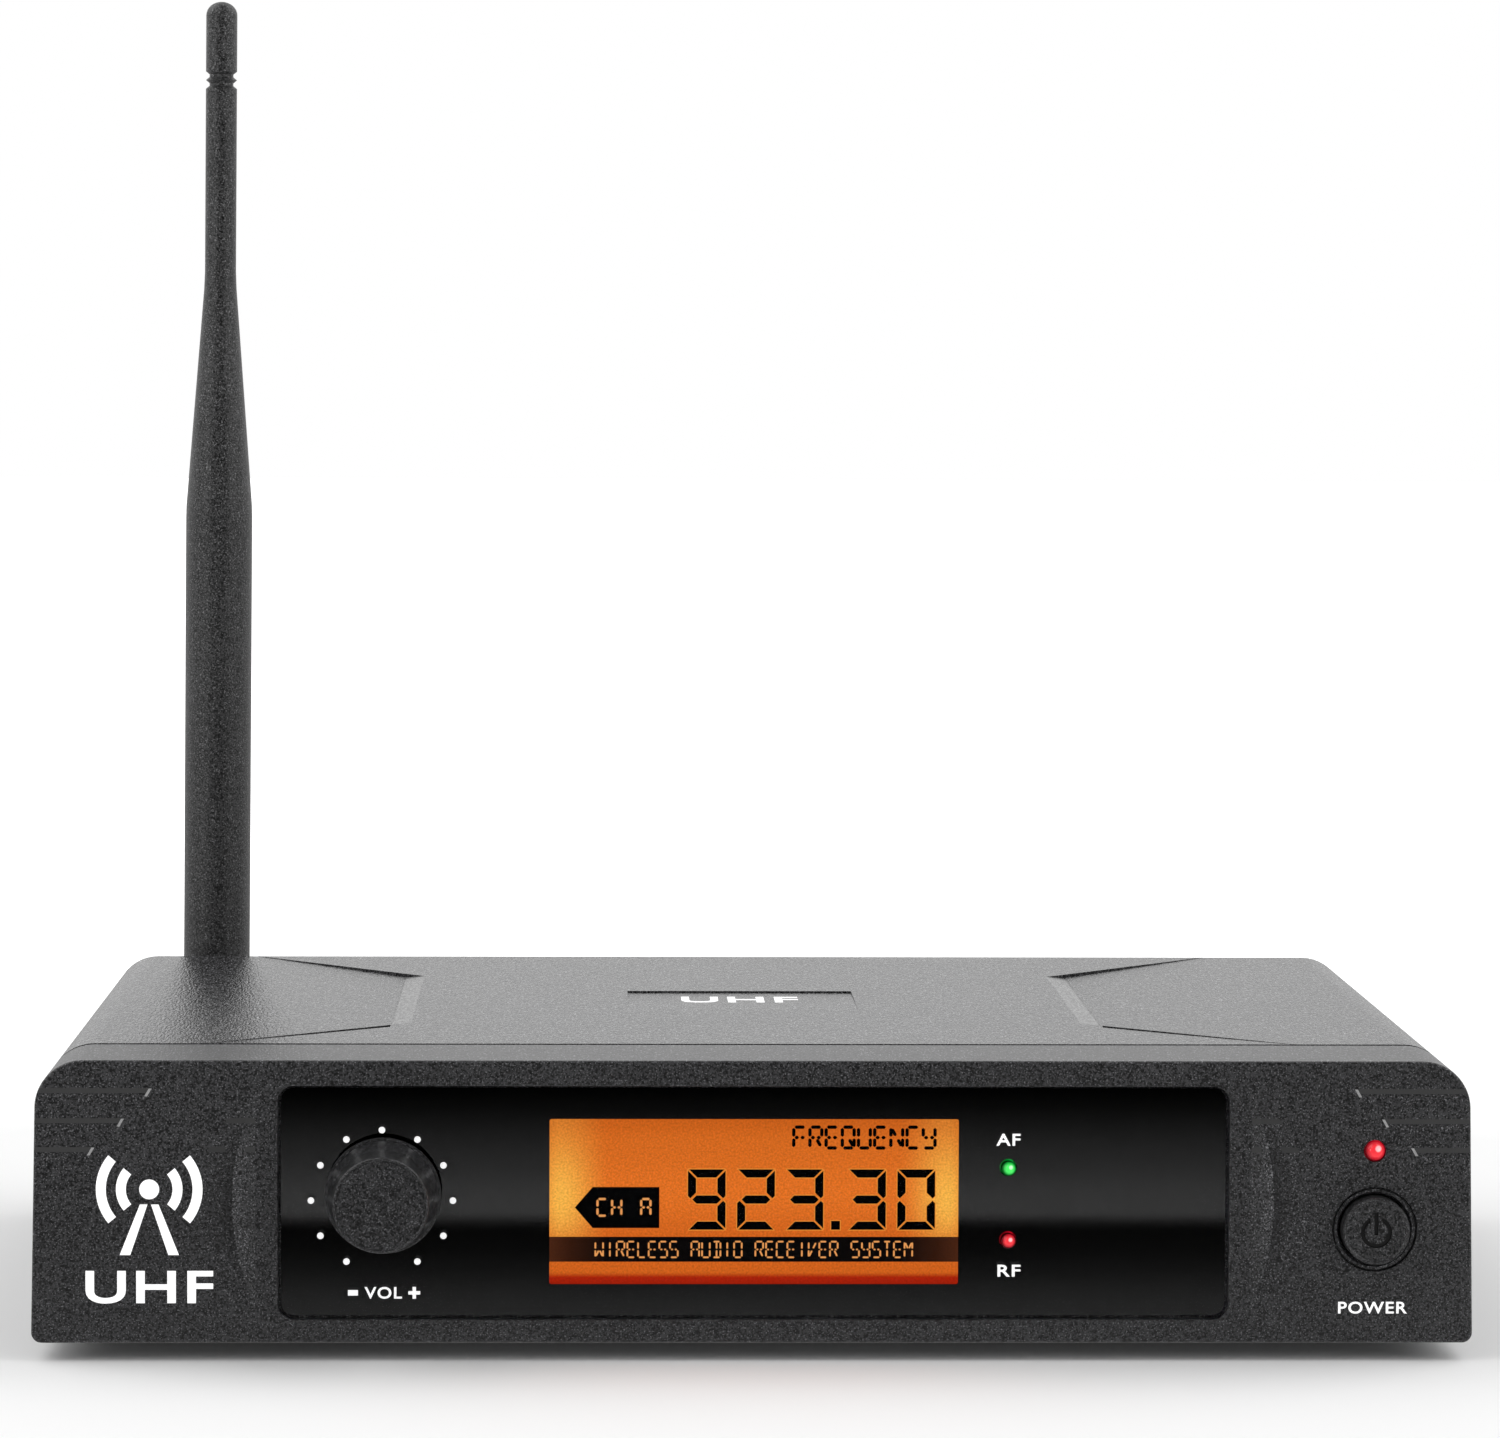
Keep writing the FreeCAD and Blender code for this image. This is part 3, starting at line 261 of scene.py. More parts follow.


# Painted light and shade, laid where the CAD's surfaces are sunk: areas without grain bumps and fine accents
# that take flat greys for highlights and shade, and a factor that paints light and shade on the rest

def pocket_sheen_and_shade(tree):
    """The two slopes of the roof pockets, without grain bumps and painted lighter as a painted sheen, and the
    fine crease beside each, painted black as painted shade.
    """
    side, depth, height = parts_of(tree)
    slope_start, crease_start, crease_end = 51.2, 54.35, 54.6       # from the middle plane
    front_end, rear_end = FRONT + 44.0, FRONT + 118.5
    below_roof = between(tree, height, ROOF - 2.0, ROOF - 0.004)
    sunk = times(tree, below_roof, between(tree, depth, front_end, rear_end))
    # painted sheen on each pocket's slope, and painted shade in the crease beside it
    lit_slope = times(tree, between(tree, side, slope_start, crease_start), sunk)
    crease = times(tree, between(tree, side, crease_start, crease_end), sunk)
    return lit_slope, crease, None


def scoop_shade(tree):
    """Painted light and shade on the crescent hollows: a factor that paints the inner slope lighter and the
    outer slope darker beside their crease.
    """
    side, depth = parts_of(tree)[:2]
    chord, crease, rim, sunk = 72.4, 75.8, 81.2, 0.9
    fall = sunk / (crease - chord)                  # depth gained per step along the inner slope
    in_depth = between(tree, depth, FRONT + 0.05, FRONT + 1.0)
    hollow = times(tree, between(tree, side, chord, rim), in_depth)
    start = FRONT - chord * fall
    above = math_node(tree, "SUBTRACT", depth, times(tree, side, fall))
    inner_slope = between(tree, above, start - 0.03, start + 0.2)
    near_crease = progress(tree, depth, FRONT + 0.25, FRONT + sunk)
    # painted light on the inner slope, painted shade on the outer one
    change = scaled(tree, inner_slope, -0.50, 0.55)
    shade = times(tree, times(tree, near_crease, change), hollow)
    return math_node(tree, "ADD", shade, 1.0)


def groove_painted_light(tree):
    """The upper slopes of the front's side grooves, without grain bumps and painted lighter as a painted
    highlight, and painted glints on their inner ends.
    """
    side, depth, height = parts_of(tree)
    upper, deepest = 1.5, 0.7           # a groove's upper edge and its bottom, above its line
    slant = 0.58                        # a groove's inner end leans inwards by this for each step up
    sunk = between(tree, depth, FRONT + 0.012, FRONT + 0.4)
    leaning = math_node(tree, "ADD", side, times(tree, height, slant))
    lit_slopes, glints = 0.0, 0.0
    for inner_x, line_z in ((88.0, 35.8), (92.0, 31.4), (96.3, 27.2)):
        z = FLOOR_GAP + line_z
        # painted highlight on each groove's upper slope
        lit_slope = times(tree, between(tree, height, z + deepest, z + upper), sunk)
        lit_slopes = math_node(tree, "ADD", lit_slopes, lit_slope)
        start = inner_x - 0.65 + (z + upper) * slant
        # painted glint, a pale grey mark on each groove's inner end
        glint = times(tree, between(tree, leaning, start - 0.05, start + 0.44), sunk)
        glint = times(tree, glint, between(tree, height, z + 0.25, z + 1.4))
        glints = math_node(tree, "ADD", glints, glint)
    return lit_slopes, glints, scoop_shade(tree)


def engraving_painted_shade(tree):
    """The engraved sign on the button, painted near-black as painted shade in its recess."""
    depth = parts_of(tree)[1]
    return between(tree, depth, BUTTON_FACE + 0.30, BUTTON_FACE + 0.62), 0.0, None


# Materials

def moulded(name, colour, roughness, contrast, grain=0.3, painted_glint=0.0, relief=0.02,
            specular=0.5, stretch=None, marks=None, marked=None):
    """Injection-moulded plastic or rubber with a spark-eroded grain.

    contrast says how far the grain strays from the colour, and painted_glint how much brighter
    the painted glints on the grain are; stretch draws the grain out on faces that look up. marks
    gives a mask of areas without grain bumps and a mask of fine accents, which take the greys
    in marked as painted highlights and shade, and a factor that paints light and shade on the rest.
    """
    material, tree, shader = new_material(name)
    fine = grained(tree, grain, 3.0, stretch)
    base = ramp(tree, fine, [(0.40, rgba(colour, 1 - contrast)), (0.60, rgba(colour, 1 + contrast))])
    base = shaded(tree, base, from_noise(tree, noise(tree, 18.0), 0.92, 1.08))
    # painted glints: specks of the grain painted several times brighter, standing for highlights caught by
    # the grain
    if painted_glint:
        glint_specks = ramp(tree, grained(tree, grain * 0.8, 1.0, stretch), [(0.60, 0), (0.70, 1)])
        base = blend_colours(tree, glint_specks, base, rgba(colour, 1 + painted_glint))
    height = fine
    if marks:
        # painted light and shade: flat greys for highlights and shade in the two masks, and a factor that
        # lightens and darkens the rest
        smooth_painted_light, accent, shade = marks(tree)
        if shade is not None:
            base = shaded(tree, base, shade)
        for mask, level in zip((smooth_painted_light, accent), marked):
            base = blend_colours(tree, mask, base, rgba(level))
        height = times(tree, fine, math_node(tree, "SUBTRACT", 1.0, smooth_painted_light))
    rough = from_noise(tree, fine, roughness - 0.06, roughness + 0.06)
    settings(tree, shader, base_color=base, roughness=rough, specular_ior_level=specular)
    bump(tree, shader, height, 1.0, relief)
    return material


def metal(name, colour, roughness, grain, stretch=None):
    """Plated, brushed or rolled metal."""
    material, tree, shader = new_material(name)
    streaks = noise(tree, grain, detail=4.0, stretch=stretch)
    stains = noise(tree, 6.0, detail=3.0)
    base = ramp(tree, stains, [(0.35, rgba(colour, 0.78)), (0.6, colour)])
    rough = from_noise(tree, streaks, roughness * 0.75, roughness * 1.3)
    settings(tree, shader, base_color=base, roughness=rough, metallic=1.0)
    bump(tree, shader, streaks, 0.6, 0.004)
    return material


def acrylic():
    """The clear window: polished acrylic, anti-glare, with a very faint handling haze."""
    material, tree, shader = new_material("window_acrylic_polished")
    haze = scaled(tree, noise(tree, 9.0, detail=3.0), 0.0, 0.004, 0.4, 0.7)
    settings(tree, shader, base_color=rgba(1), transmission_weight=1.0, ior=1.04, roughness=haze)
    return material


def black_ink():
    """Glossy black print behind the window; it carries the window's reflections."""
    material, tree, shader = new_material("window_ink_black")
    mottle = noise(tree, 1.2)
    base = ramp(tree, mottle, [(0.3, 0.0002), (0.7, 0.0004)])
    rough = from_noise(tree, mottle, 0.025, 0.040)
    settings(tree, shader, base_color=base, roughness=rough, specular_ior_level=0.5)
    return material


def white_ink():
    """Printed white ink, slightly uneven where it sits on the grain, with a painted glow that lifts it a
    little.
    """
    material, tree, shader = new_material("white_print")
    base = ramp(tree, noise(tree, 0.25), [(0.3, 0.80), (0.6, 0.90)])
    settings(tree, shader, base_color=base, emission_color=base, emission_strength=0.42, roughness=0.6)
    return material


def glowing(name, glow, strength=1.0, roughness=0.5, body=(0.004, 0.002, 0.001)):
    """A dark, hardly shiny surface whose light comes from glow, a function of its node tree."""
    material, tree, shader = new_material(name)
    settings(
        tree, shader, emission_color=glow(tree), emission_strength=strength,
        base_color=rgba(body), roughness=roughness, specular_ior_level=0.05,
    )
    return material


def orange_glow(tree):
    """The lit display: orange, with yellow light leaking in from both ends."""
    side, _, height = parts_of(tree)
    to_end = progress(tree, side, DISPLAY_HALF_WIDTH - 9.0, DISPLAY_HALF_WIDTH)
    rise = progress(tree, height, DISPLAY_Z - DISPLAY_HALF_HEIGHT, DISPLAY_Z + DISPLAY_HALF_HEIGHT)
    body = ramp(tree, rise, [
        (0.0, (0.32, 0.012, 0.002)),
        (0.035, (0.36, 0.014, 0.002)),
        (0.075, (0.60, 0.115, 0.011)),
        (0.25, (0.61, 0.120, 0.012)),
        (0.55, (0.72, 0.158, 0.017)),
        (0.85, (0.64, 0.138, 0.014)),
        (1.0, (0.55, 0.110, 0.010)),
    ], "EASE")
    lobe = ramp(tree, rise, [(0.10, 0), (0.50, 1), (1.0, 0.25)], "EASE")
    end = ramp(tree, to_end, [(0.0, 0), (0.85, 0.85), (1.0, 0.62)], "EASE")
    colour = blend_colours(tree, times(tree, lobe, end), body, rgba((0.92, 0.49, 0.075)))
    return shaded(tree, colour, from_noise(tree, noise(tree, 0.3), 0.80, 1.20))


def band_glow(tree):
    """The name band: black in the middle, fading to brown at both ends."""
    to_end = progress(tree, parts_of(tree)[0], 0.0, DISPLAY_HALF_WIDTH)
    glow = ramp(tree, to_end, [
        (0.0, 0.001),
        (0.72, (0.002, 0.001, 0.001)),
        (0.9, (0.030, 0.008, 0.003)),
        (1.0, (0.060, 0.016, 0.006)),
    ])
    return shaded(tree, glow, from_noise(tree, noise(tree, 0.3, detail=1.0), 0.9, 1.1))


def lit(name, colour, strength=1.0):
    """A surface that glows with a little mottle."""
    def glow(tree):
        return ramp(tree, noise(tree, 0.3), [(0.3, rgba(colour, 0.85)), (0.7, colour)])

    return glowing(name, glow, strength)


def display_black():
    """Switched-on liquid-crystal segments."""
    material, tree, shader = new_material("display_segment_black")
    base = ramp(tree, noise(tree, 0.4), [(0.3, (0.0004, 0.0004, 0.001)), (0.7, (0.0007, 0.0007, 0.0018))])
    settings(tree, shader, base_color=base, roughness=0.6, specular_ior_level=0.05)
    return material


def away_from(tree, x, z, reach):
    """Distance from an axis along Y at x from the middle plane, 0 to 1 at reach."""
    side, _, height = parts_of(tree)
    across = math_node(tree, "SUBTRACT", side, abs(x) * MM)
    up = math_node(tree, "SUBTRACT", height, z * MM)
    square = math_node(tree, "ADD", times(tree, across, across), times(tree, up, up))
    return progress(tree, math_node(tree, "SQRT", square), 0.0, reach)


def indicator(name, node, deep, hot):
    """A lit, tinted dome: hot in the middle, deep at its rim, with one painted highlight."""
    material, tree, shader = new_material(name)
    low, high = edges(node)
    x, z = middle_of(node)
    radius = (high.x - low.x) / 2 - 0.4         # of the dome, which is narrower than its base
    out = away_from(tree, x + 0.08 * radius, z + 0.08 * radius, radius)
    glow = ramp(tree, out, [(0.0, hot), (0.52, hot), (0.88, deep), (1.0, rgba(deep, 0.25))])
    # a painted highlight: a pale spot a little up and to the right of the dome's middle
    highlight_reach = away_from(tree, x + 0.25 * radius, z + 0.28 * radius, 0.38 * radius)
    painted_highlight = ramp(tree, highlight_reach, [(0.0, 1), (0.5, 0.85), (1.0, 0)], "EASE")
    pale = rgba([0.60 + 0.40 * channel for channel in hot])
    glow = blend_colours(tree, painted_highlight, glow, pale)
    glow = shaded(tree, glow, from_noise(tree, noise(tree, 0.4, detail=1.0), 0.92, 1.08))
    settings(
        tree, shader, emission_color=glow, emission_strength=1.0, base_color=rgba(0.01), roughness=0.10,
    )
    return material


def laminate():
    """Green solder mask over copper tracks, with pale drill rings."""
    material, tree, shader = new_material("board_laminate_green")
    tracks = add(
        tree, "ShaderNodeTexBrick", vector=coordinates(tree), scale=1.0 / (9.0 * MM), mortar_size=0.09,
        color1=rgba((0.010, 0.075, 0.028)), color2=rgba((0.013, 0.090, 0.032)),
        mortar=rgba((0.030, 0.170, 0.060)),
    )
    drills = cells(tree, 4.2)
    rings = ramp(tree, drills, [(0.10, (0.55, 0.42, 0.20)), (0.13, 0)])
    mask = ramp(tree, drills, [(0.10, 1), (0.13, 0)])
    base = blend_colours(tree, mask, tracks.outputs["Color"], rings)
    settings(tree, shader, base_color=base, roughness=from_noise(tree, noise(tree, 0.5), 0.28, 0.42))
    bump(tree, shader, tracks.outputs["Fac"], 0.6, 0.03)
    return material


CHARCOAL = (0.022, 0.022, 0.0232)
# the top cover's copy of the front's charcoal, painted a little lighter as painted light on the roof
LIT_COVER_CHARCOAL = (0.027, 0.027, 0.0283)
COATING_BLACK = (0.012, 0.012, 0.013)
RED_LIGHT = ((0.42, 0.002, 0.012), (1.0, 0.030, 0.045))         # deep and hot
GREEN_LIGHT = ((0.0, 0.30, 0.03), (0.06, 0.92, 0.13))

white_print = white_ink()
segment_black = display_black()
segment_light = lit("display_segment_light", (0.82, 0.34, 0.10))
segment_halo = lit("display_segment_halo", (0.86, 0.30, 0.04))

finishes = {
    "charcoal_abs": moulded("charcoal_abs_grained", CHARCOAL, 0.40, 0.95, painted_glint=6.0, relief=0.07),
    "rear_panel_plastic": moulded(
        "rear_panel_grained", (0.018, 0.018, 0.019), 0.5, 0.5, painted_glint=1.0, relief=0.03, specular=0.4,
    ),
    "window_acrylic": acrylic(),
    "window_ink": black_ink(),
    "foot_rubber": moulded("foot_rubber_matte", (0.010, 0.010, 0.010), 0.75, 0.3, grain=0.6, specular=0.3),
    "black_screw_steel": moulded(
        "black_screw_coating", COATING_BLACK, 0.32, 0.3, grain=0.2, relief=0.01, specular=0.8,
    ),
    "zinc_screw_steel": metal("zinc_plated_screw", (0.62, 0.62, 0.60), 0.30, 0.3),
    "display_glass": glowing("display_glow", orange_glow, roughness=0.4),
    "backlight_orange": lit("backlight_diffuser", (0.80, 0.25, 0.02), 0.8),
    "display_frame_metal": metal("display_frame_tinned", (0.60, 0.60, 0.60), 0.34, 0.6, (8, 1, 1)),
    "board_laminate": laminate(),
    "led_red": indicator("led_red_lit", "rf_led", *RED_LIGHT),
    "led_green": indicator("led_green_lit", "af_led", *GREEN_LIGHT),
    "black_nylon": moulded("black_nylon_satin", (0.014, 0.014, 0.015), 0.38, 0.3, grain=0.4, relief=0.015),
    "component_black": moulded("component_epoxy", (0.016, 0.016, 0.017), 0.55, 0.3, grain=0.2, relief=0.015),
    "ribbon_grey": moulded("ribbon_vinyl", (0.30, 0.30, 0.31), 0.45, 0.12, grain=0.8, relief=0.01),
    "tinned_steel": metal("tinned_steel_plate", (0.66, 0.66, 0.65), 0.26, 0.7, (1, 6, 1)),
    "capacitor_sleeve": moulded(
        "capacitor_sleeve_blue", (0.012, 0.020, 0.060), 0.28, 0.15, grain=2.0, relief=0.01,
    ),
    "heatsink_aluminium": metal("heatsink_extruded", (0.10, 0.10, 0.105), 0.42, 0.4, (1, 1, 9)),
    "nickel_shell": metal("nickel_plated_shell", (0.60, 0.57, 0.53), 0.24, 0.5),
    "gold_contact": metal("gold_plated_contact", (0.85, 0.58, 0.22), 0.22, 0.3),
    "cable_black": moulded("coax_jacket", COATING_BLACK, 0.42, 0.2, grain=0.5, relief=0.01),
    "antenna_plastic": moulded(
        "antenna_sheath_matte", (0.024, 0.024, 0.0245), 0.43, 0.95, painted_glint=5.5, relief=0.06,
    ),
    "knob_plastic": moulded(
        "knob_grained", (0.019, 0.019, 0.020), 0.38, 0.95, grain=0.28, painted_glint=5.0, relief=0.05,
    ),
    "shaft_aluminium": metal("shaft_turned", (0.72, 0.72, 0.73), 0.28, 0.2, (1, 8, 1)),
    "button_plastic": moulded(
        "button_grained", (0.021, 0.021, 0.022), 0.38, 0.95, grain=0.28, painted_glint=4.0, relief=0.05,
        # the engraved sign painted near-black, as painted shade in its recess
        marks=engraving_painted_shade, marked=(0.003, 0.0),
    ),
}
node_finishes = {
    "top_cover": moulded(
        "charcoal_abs_cover", LIT_COVER_CHARCOAL, 0.22, 0.95, grain=0.36, painted_glint=5.5, relief=0.16, specular=0.07,
        # the pockets' slopes painted a lighter grey as a painted sheen, their creases black as painted shade
        stretch=(1, 0.18, 1), marks=pocket_sheen_and_shade, marked=(0.09, 0.0),
    ),
    "front_bezel": moulded(
        "charcoal_abs_front", CHARCOAL, 0.39, 0.95, painted_glint=6.5, relief=0.10,
        # the grooves' upper slopes painted lighter and their inner ends pale grey, as painted highlights and
        # glints
        stretch=(1, 0.22, 1), marks=groove_painted_light, marked=(0.036, 0.32),
    ),
    "power_led": indicator("power_led_lit", "power_led", *RED_LIGHT),
}

for node_name, node in frame["nodes"].items():
    for place in node.material_slots:
        slot_finish = finishes[place.material.name.split(".")[0]]
        place.material = node_finishes.get(node_name, slot_finish)


# Piece helpers: outlines are lists of (x, z) in millimetres

def finish_mesh(name, bm, material, body):
    bmesh.ops.remove_doubles(bm, verts=bm.verts, dist=1e-7)
    bmesh.ops.recalc_face_normals(bm, faces=bm.faces)
    mesh = bpy.data.meshes.new(name)
    bm.to_mesh(mesh)
    bm.free()
    piece = bpy.data.objects.new(name, mesh)
    scene.collection.objects.link(piece)
    mesh.materials.append(material)
    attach(piece, body)


def upright(u, w, t):
    """A place on the front: u along X, w along Z, t along Y, in millimetres."""
    return (u, t, w)


def prisms(name, outlines, near, far, material):
    """Flat plates riding on the case, one for each outline, between two values of Y."""
    bm = bmesh.new()
    for outline in outlines:
        front = [bm.verts.new(Vector(upright(u, w, near)) * MM) for u, w in outline]
        back = [bm.verts.new(Vector(upright(u, w, far)) * MM) for u, w in outline]
        bm.faces.new(front)
        bm.faces.new(back[::-1])
        for i in range(len(outline)):
            j = (i + 1) % len(outline)
            bm.faces.new((front[i], back[i], back[j], front[j]))
    finish_mesh(name, bm, material, "case")


def printed(name, outlines, face):
    """White print on a face of the front."""
    prisms(name, outlines, face - INK, face + INK, white_print)


def rectangle(left, right, low, high):
    return [(left, low), (right, low), (right, high), (left, high)]


def around(x, z, radius, angles):
    """Points on a circle about (x, z), at angles in radians."""
    return [(x + radius * math.cos(a), z + radius * math.sin(a)) for a in angles]


def disc(x, z, radius, sides=40):
    return around(x, z, radius, [2 * math.pi * i / sides for i in range(sides)])


def arc_band(x, z, radius, width, start, end, steps=18):
    """A curved stripe about (x, z) between two angles in degrees."""
    angles = [math.radians(start + (end - start) * i / steps) for i in range(steps + 1)]
    outer = around(x, z, radius + width / 2, angles)
    inner = around(x, z, radius - width / 2, angles)
    return outer + inner[::-1]


def plus_sign(x, z, arm, half):
    """A cross about (x, z); arm is its reach, and half is half its strokes' width."""
    outline, corner = [], [(-arm, -half), (-half, -half), (-half, -arm)]
    for _ in range(4):
        outline += [(x + u, z + w) for u, w in corner]
        corner = [(-w, u) for u, w in corner]
    return outline


def bar(start, end, width, tip):
    """A straight stroke with pointed ends; tip is the points' length over half the width."""
    (x0, z0), (x1, z1) = start, end
    length = math.hypot(x1 - x0, z1 - z0)
    ux, uz = (x1 - x0) / length, (z1 - z0) / length
    half = width / 2
    point = half * tip
    return [
        (x0, z0),
        (x0 + ux * point + uz * half, z0 + uz * point - ux * half),
        (x1 - ux * point + uz * half, z1 - uz * point - ux * half),
        (x1, z1),
        (x1 - ux * point - uz * half, z1 - uz * point + ux * half),
        (x0 + ux * point - uz * half, z0 + uz * point + ux * half),
    ]


def lettering(name, text, x, z, width, height, face=FRONT, place=upright):
    """White print of a given width and height, centred on (x, z) on the front."""
    curve = bpy.data.curves.new(name + "_outline", "FONT")
    curve.body = text
    curve.offset = 0.018                # makes the strokes a little bolder
    curve.space_character = 1.12
    curve.resolution_u = 6
    curve.extrude = 0.5
    source = bpy.data.objects.new(name + "_outline", curve)
    scene.collection.objects.link(source)
    bpy.context.view_layer.update()
    evaluated = source.evaluated_get(bpy.context.evaluated_depsgraph_get())
    mesh = bpy.data.meshes.new_from_object(evaluated)
    bpy.data.objects.remove(source)
    bm = bmesh.new()
    bm.from_mesh(mesh)
    bpy.data.meshes.remove(mesh)
    xs = [v.co.x for v in bm.verts]
    ys = [v.co.y for v in bm.verts]
    middle = Vector(((min(xs) + max(xs)) / 2, (min(ys) + max(ys)) / 2, 0))
    size = Vector((width / (max(xs) - min(xs)), height / (max(ys) - min(ys)), 2 * INK))
    for v in bm.verts:
        u, w, t = ((v.co - middle)[i] * size[i] for i in range(3))
        v.co = Vector(place(x + u, z + w, face - t)) * MM
    finish_mesh(name, bm, white_print, "case")


# Segment characters on the display

SEGMENTS = {
    "a": ((0, 2), (2, 2)), "b": ((2, 2), (2, 1)), "c": ((2, 1), (2, 0)), "d": ((0, 0), (2, 0)),
    "e": ((0, 1), (0, 0)), "f": ((0, 2), (0, 1)), "g": ((0, 1), (1, 1)), "h": ((1, 1), (2, 1)),
    "i": ((0, 2), (1, 1)), "j": ((1, 2), (1, 1)), "k": ((2, 2), (1, 1)), "l": ((0, 0), (1, 1)),
    "m": ((1, 1), (1, 0)), "n": ((1, 1), (2, 0)),
}
LETTERS = {
    "A": "abcefgh", "C": "adef", "D": "abcdjm", "E": "adefgh", "F": "aefgh", "H": "bcefgh",
    "I": "jm", "L": "def", "M": "bcefik", "N": "bcefin", "O": "abcdef", "Q": "abcdefn",
    "R": "abefghn", "S": "acdfgh", "T": "ajm", "U": "bcdef", "V": "eflk", "W": "bcefln",
    "Y": "bcdfgh", " ": "",
}
DIGITS = {"0": "abcdef", "2": "abged", "3": "abgcd", "9": "abcdfg"}


def segment_text(text, x, z, pitch, width, height, stroke):
    """Outlines of a line of fourteen-segment letters whose first cell starts at x, above z."""
    outlines = []
    for place, letter in enumerate(text):
        for segment in LETTERS[letter]:
            ends = []
            for u, w in SEGMENTS[segment]:
                ends.append((x + place * pitch + u * width / 2, z + w * height / 2))
            (x0, z0), (x1, z1) = ends
            length = math.hypot(x1 - x0, z1 - z0)
            gap = 0.10 + (0.0 if x0 == x1 or z0 == z1 else 0.3 * stroke)
            ux, uz = (x1 - x0) / length * gap, (z1 - z0) / length * gap
            outlines.append(bar((x0 + ux, z0 + uz), (x1 - ux, z1 - uz), stroke, 0.8))
    return outlines


def digit_outlines(digit, left, right, low, high, stroke, grow):
    """Outlines of a seven-segment digit with mitred ends; grow makes every segment larger."""
    gap = 0.17 - grow
    middle = (low + high) / 2
    left, right, low, high = left - grow, right + grow, low - grow, high + grow
    stroke = stroke + 2 * grow

    def upended(outline):
        return [(x, low + high - z) for x, z in outline]

    def mirrored(outline):
        return [(left + right - x, z) for x, z in outline]

    top_half = [(left + gap, high), (left + gap + stroke, high - stroke)]
    middle_half = [(left + gap + 0.4 * stroke, middle), (left + gap + 0.9 * stroke, middle + stroke / 2)]
    upper_edge = middle_half + mirrored(middle_half)[::-1]
    shapes = {
        "a": top_half + mirrored(top_half)[::-1],
        "b": [
            (right, high - gap),
            (right, middle + gap + 0.3 * stroke),
            (right - 0.3 * stroke, middle + gap),
            (right - stroke, middle + gap + 0.7 * stroke),
            (right - stroke, high - gap - stroke),
        ],
        "g": upper_edge + upended(upper_edge)[2:0:-1],
    }
    shapes["d"] = upended(shapes["a"])
    shapes["c"] = upended(shapes["b"])
    shapes["f"] = mirrored(shapes["b"])
    shapes["e"] = mirrored(shapes["c"])
    return [shapes[segment] for segment in DIGITS[digit]]


def number_outlines(grow=0.0):
    """Outlines of the frequency: five digits, and the point after the third."""
    low, high, width, stroke = DISPLAY_Z - 4.15, DISPLAY_Z + 4.7, 5.5, 1.2
    outlines = []
    for digit, left in (("9", -9.65), ("2", -2.47), ("3", 4.6), ("3", 13.72), ("0", 20.9)):
        outlines += digit_outlines(digit, left, left + width, low, high, stroke, grow)
    outlines.append(rectangle(11.25 - grow, 12.55 + grow, low - grow, low + 1.3 + grow))
    return outlines


def display_contents():
    """Everything the display shows, in thin layers on the front of its glass."""
    near, middle, far, back = GLASS_FACE - 0.05, GLASS_FACE - 0.035, GLASS_FACE - 0.02, GLASS_FACE + 0.01
    prisms("display_halo", number_outlines(0.11), far, back, segment_halo)
    prisms("display_number", number_outlines(), middle, back, segment_black)
    label_z = DISPLAY_Z + 7.85
    label = segment_text("FREQUENCY", 5.75, label_z, pitch=2.36, width=1.72, height=3.05, stroke=0.50)
    prisms("display_label", label, middle, back, segment_black)

    arrow_z, arrow_half, arrow_end = DISPLAY_Z - 0.9, 3.0, -13.8
    low, high = arrow_z - arrow_half, arrow_z + arrow_half
    arrow = [(-26.1, arrow_z), (-23.5, low), (arrow_end, low), (arrow_end, high), (-23.5, high)]
    prisms("display_channel_arrow", [arrow], middle, back, segment_black)
    channel = segment_text("CH A", -22.8, arrow_z - 1.2, pitch=2.12, width=1.35, height=2.45, stroke=0.34)
    prisms("display_channel_text", channel, near, far, segment_light)

    band_end = DISPLAY_HALF_WIDTH + 0.1
    band = rectangle(-band_end, band_end, DISPLAY_Z - 8.85, DISPLAY_Z - 5.2)
    band_shade = glowing("display_band_shade", band_glow, body=(0.002, 0.002, 0.002))
    prisms("display_name_band", [band], middle, back, band_shade)
    words = "WIRELESS AUDIO RECEIVER SYSTEM"
    name = segment_text(words, -23.1, DISPLAY_Z - 8.2, pitch=1.555, width=1.12, height=2.3, stroke=0.25)
    prisms("display_name_text", name, near, far, segment_light)


def front_prints():
    """Dial dots and control names on the window, and the control name on the bezel."""
    dial_x, dial_z, dial_radius = KNOB_X - 0.2, KNOB_Z - 0.85, 10.3
    angles = [math.radians(240 - 30 * step) for step in range(11)]
    dots = [disc(x, z, 0.48) for x, z in around(dial_x, dial_z, dial_radius, angles)]
    printed("print_volume_dots", dots, LENS_FACE)
    name_z = KNOB_Z - 14.35
    lettering("print_volume_name", "VOL", KNOB_X, name_z, 5.44, 1.73, LENS_FACE)
    plus = plus_sign(KNOB_X + 4.5, name_z, 0.865, 0.25)
    minus_x, reach, half = KNOB_X - 4.4, 0.73, 0.4
    minus = rectangle(minus_x - reach, minus_x + reach, name_z - half, name_z + half)
    printed("print_volume_signs", [plus, minus], LENS_FACE)
    lettering("print_af_name", "AF", SIGNAL_X - 0.1, AF_Z + 4.3, 3.5, 1.75, LENS_FACE)
    lettering("print_rf_name", "RF", SIGNAL_X + 0.1, RF_Z - 4.3, 3.35, 1.75, LENS_FACE)
    lettering("print_power_name", "POWER", BUTTON_X - 0.18, BUTTON_Z - 11.5, 10.1, 1.77)


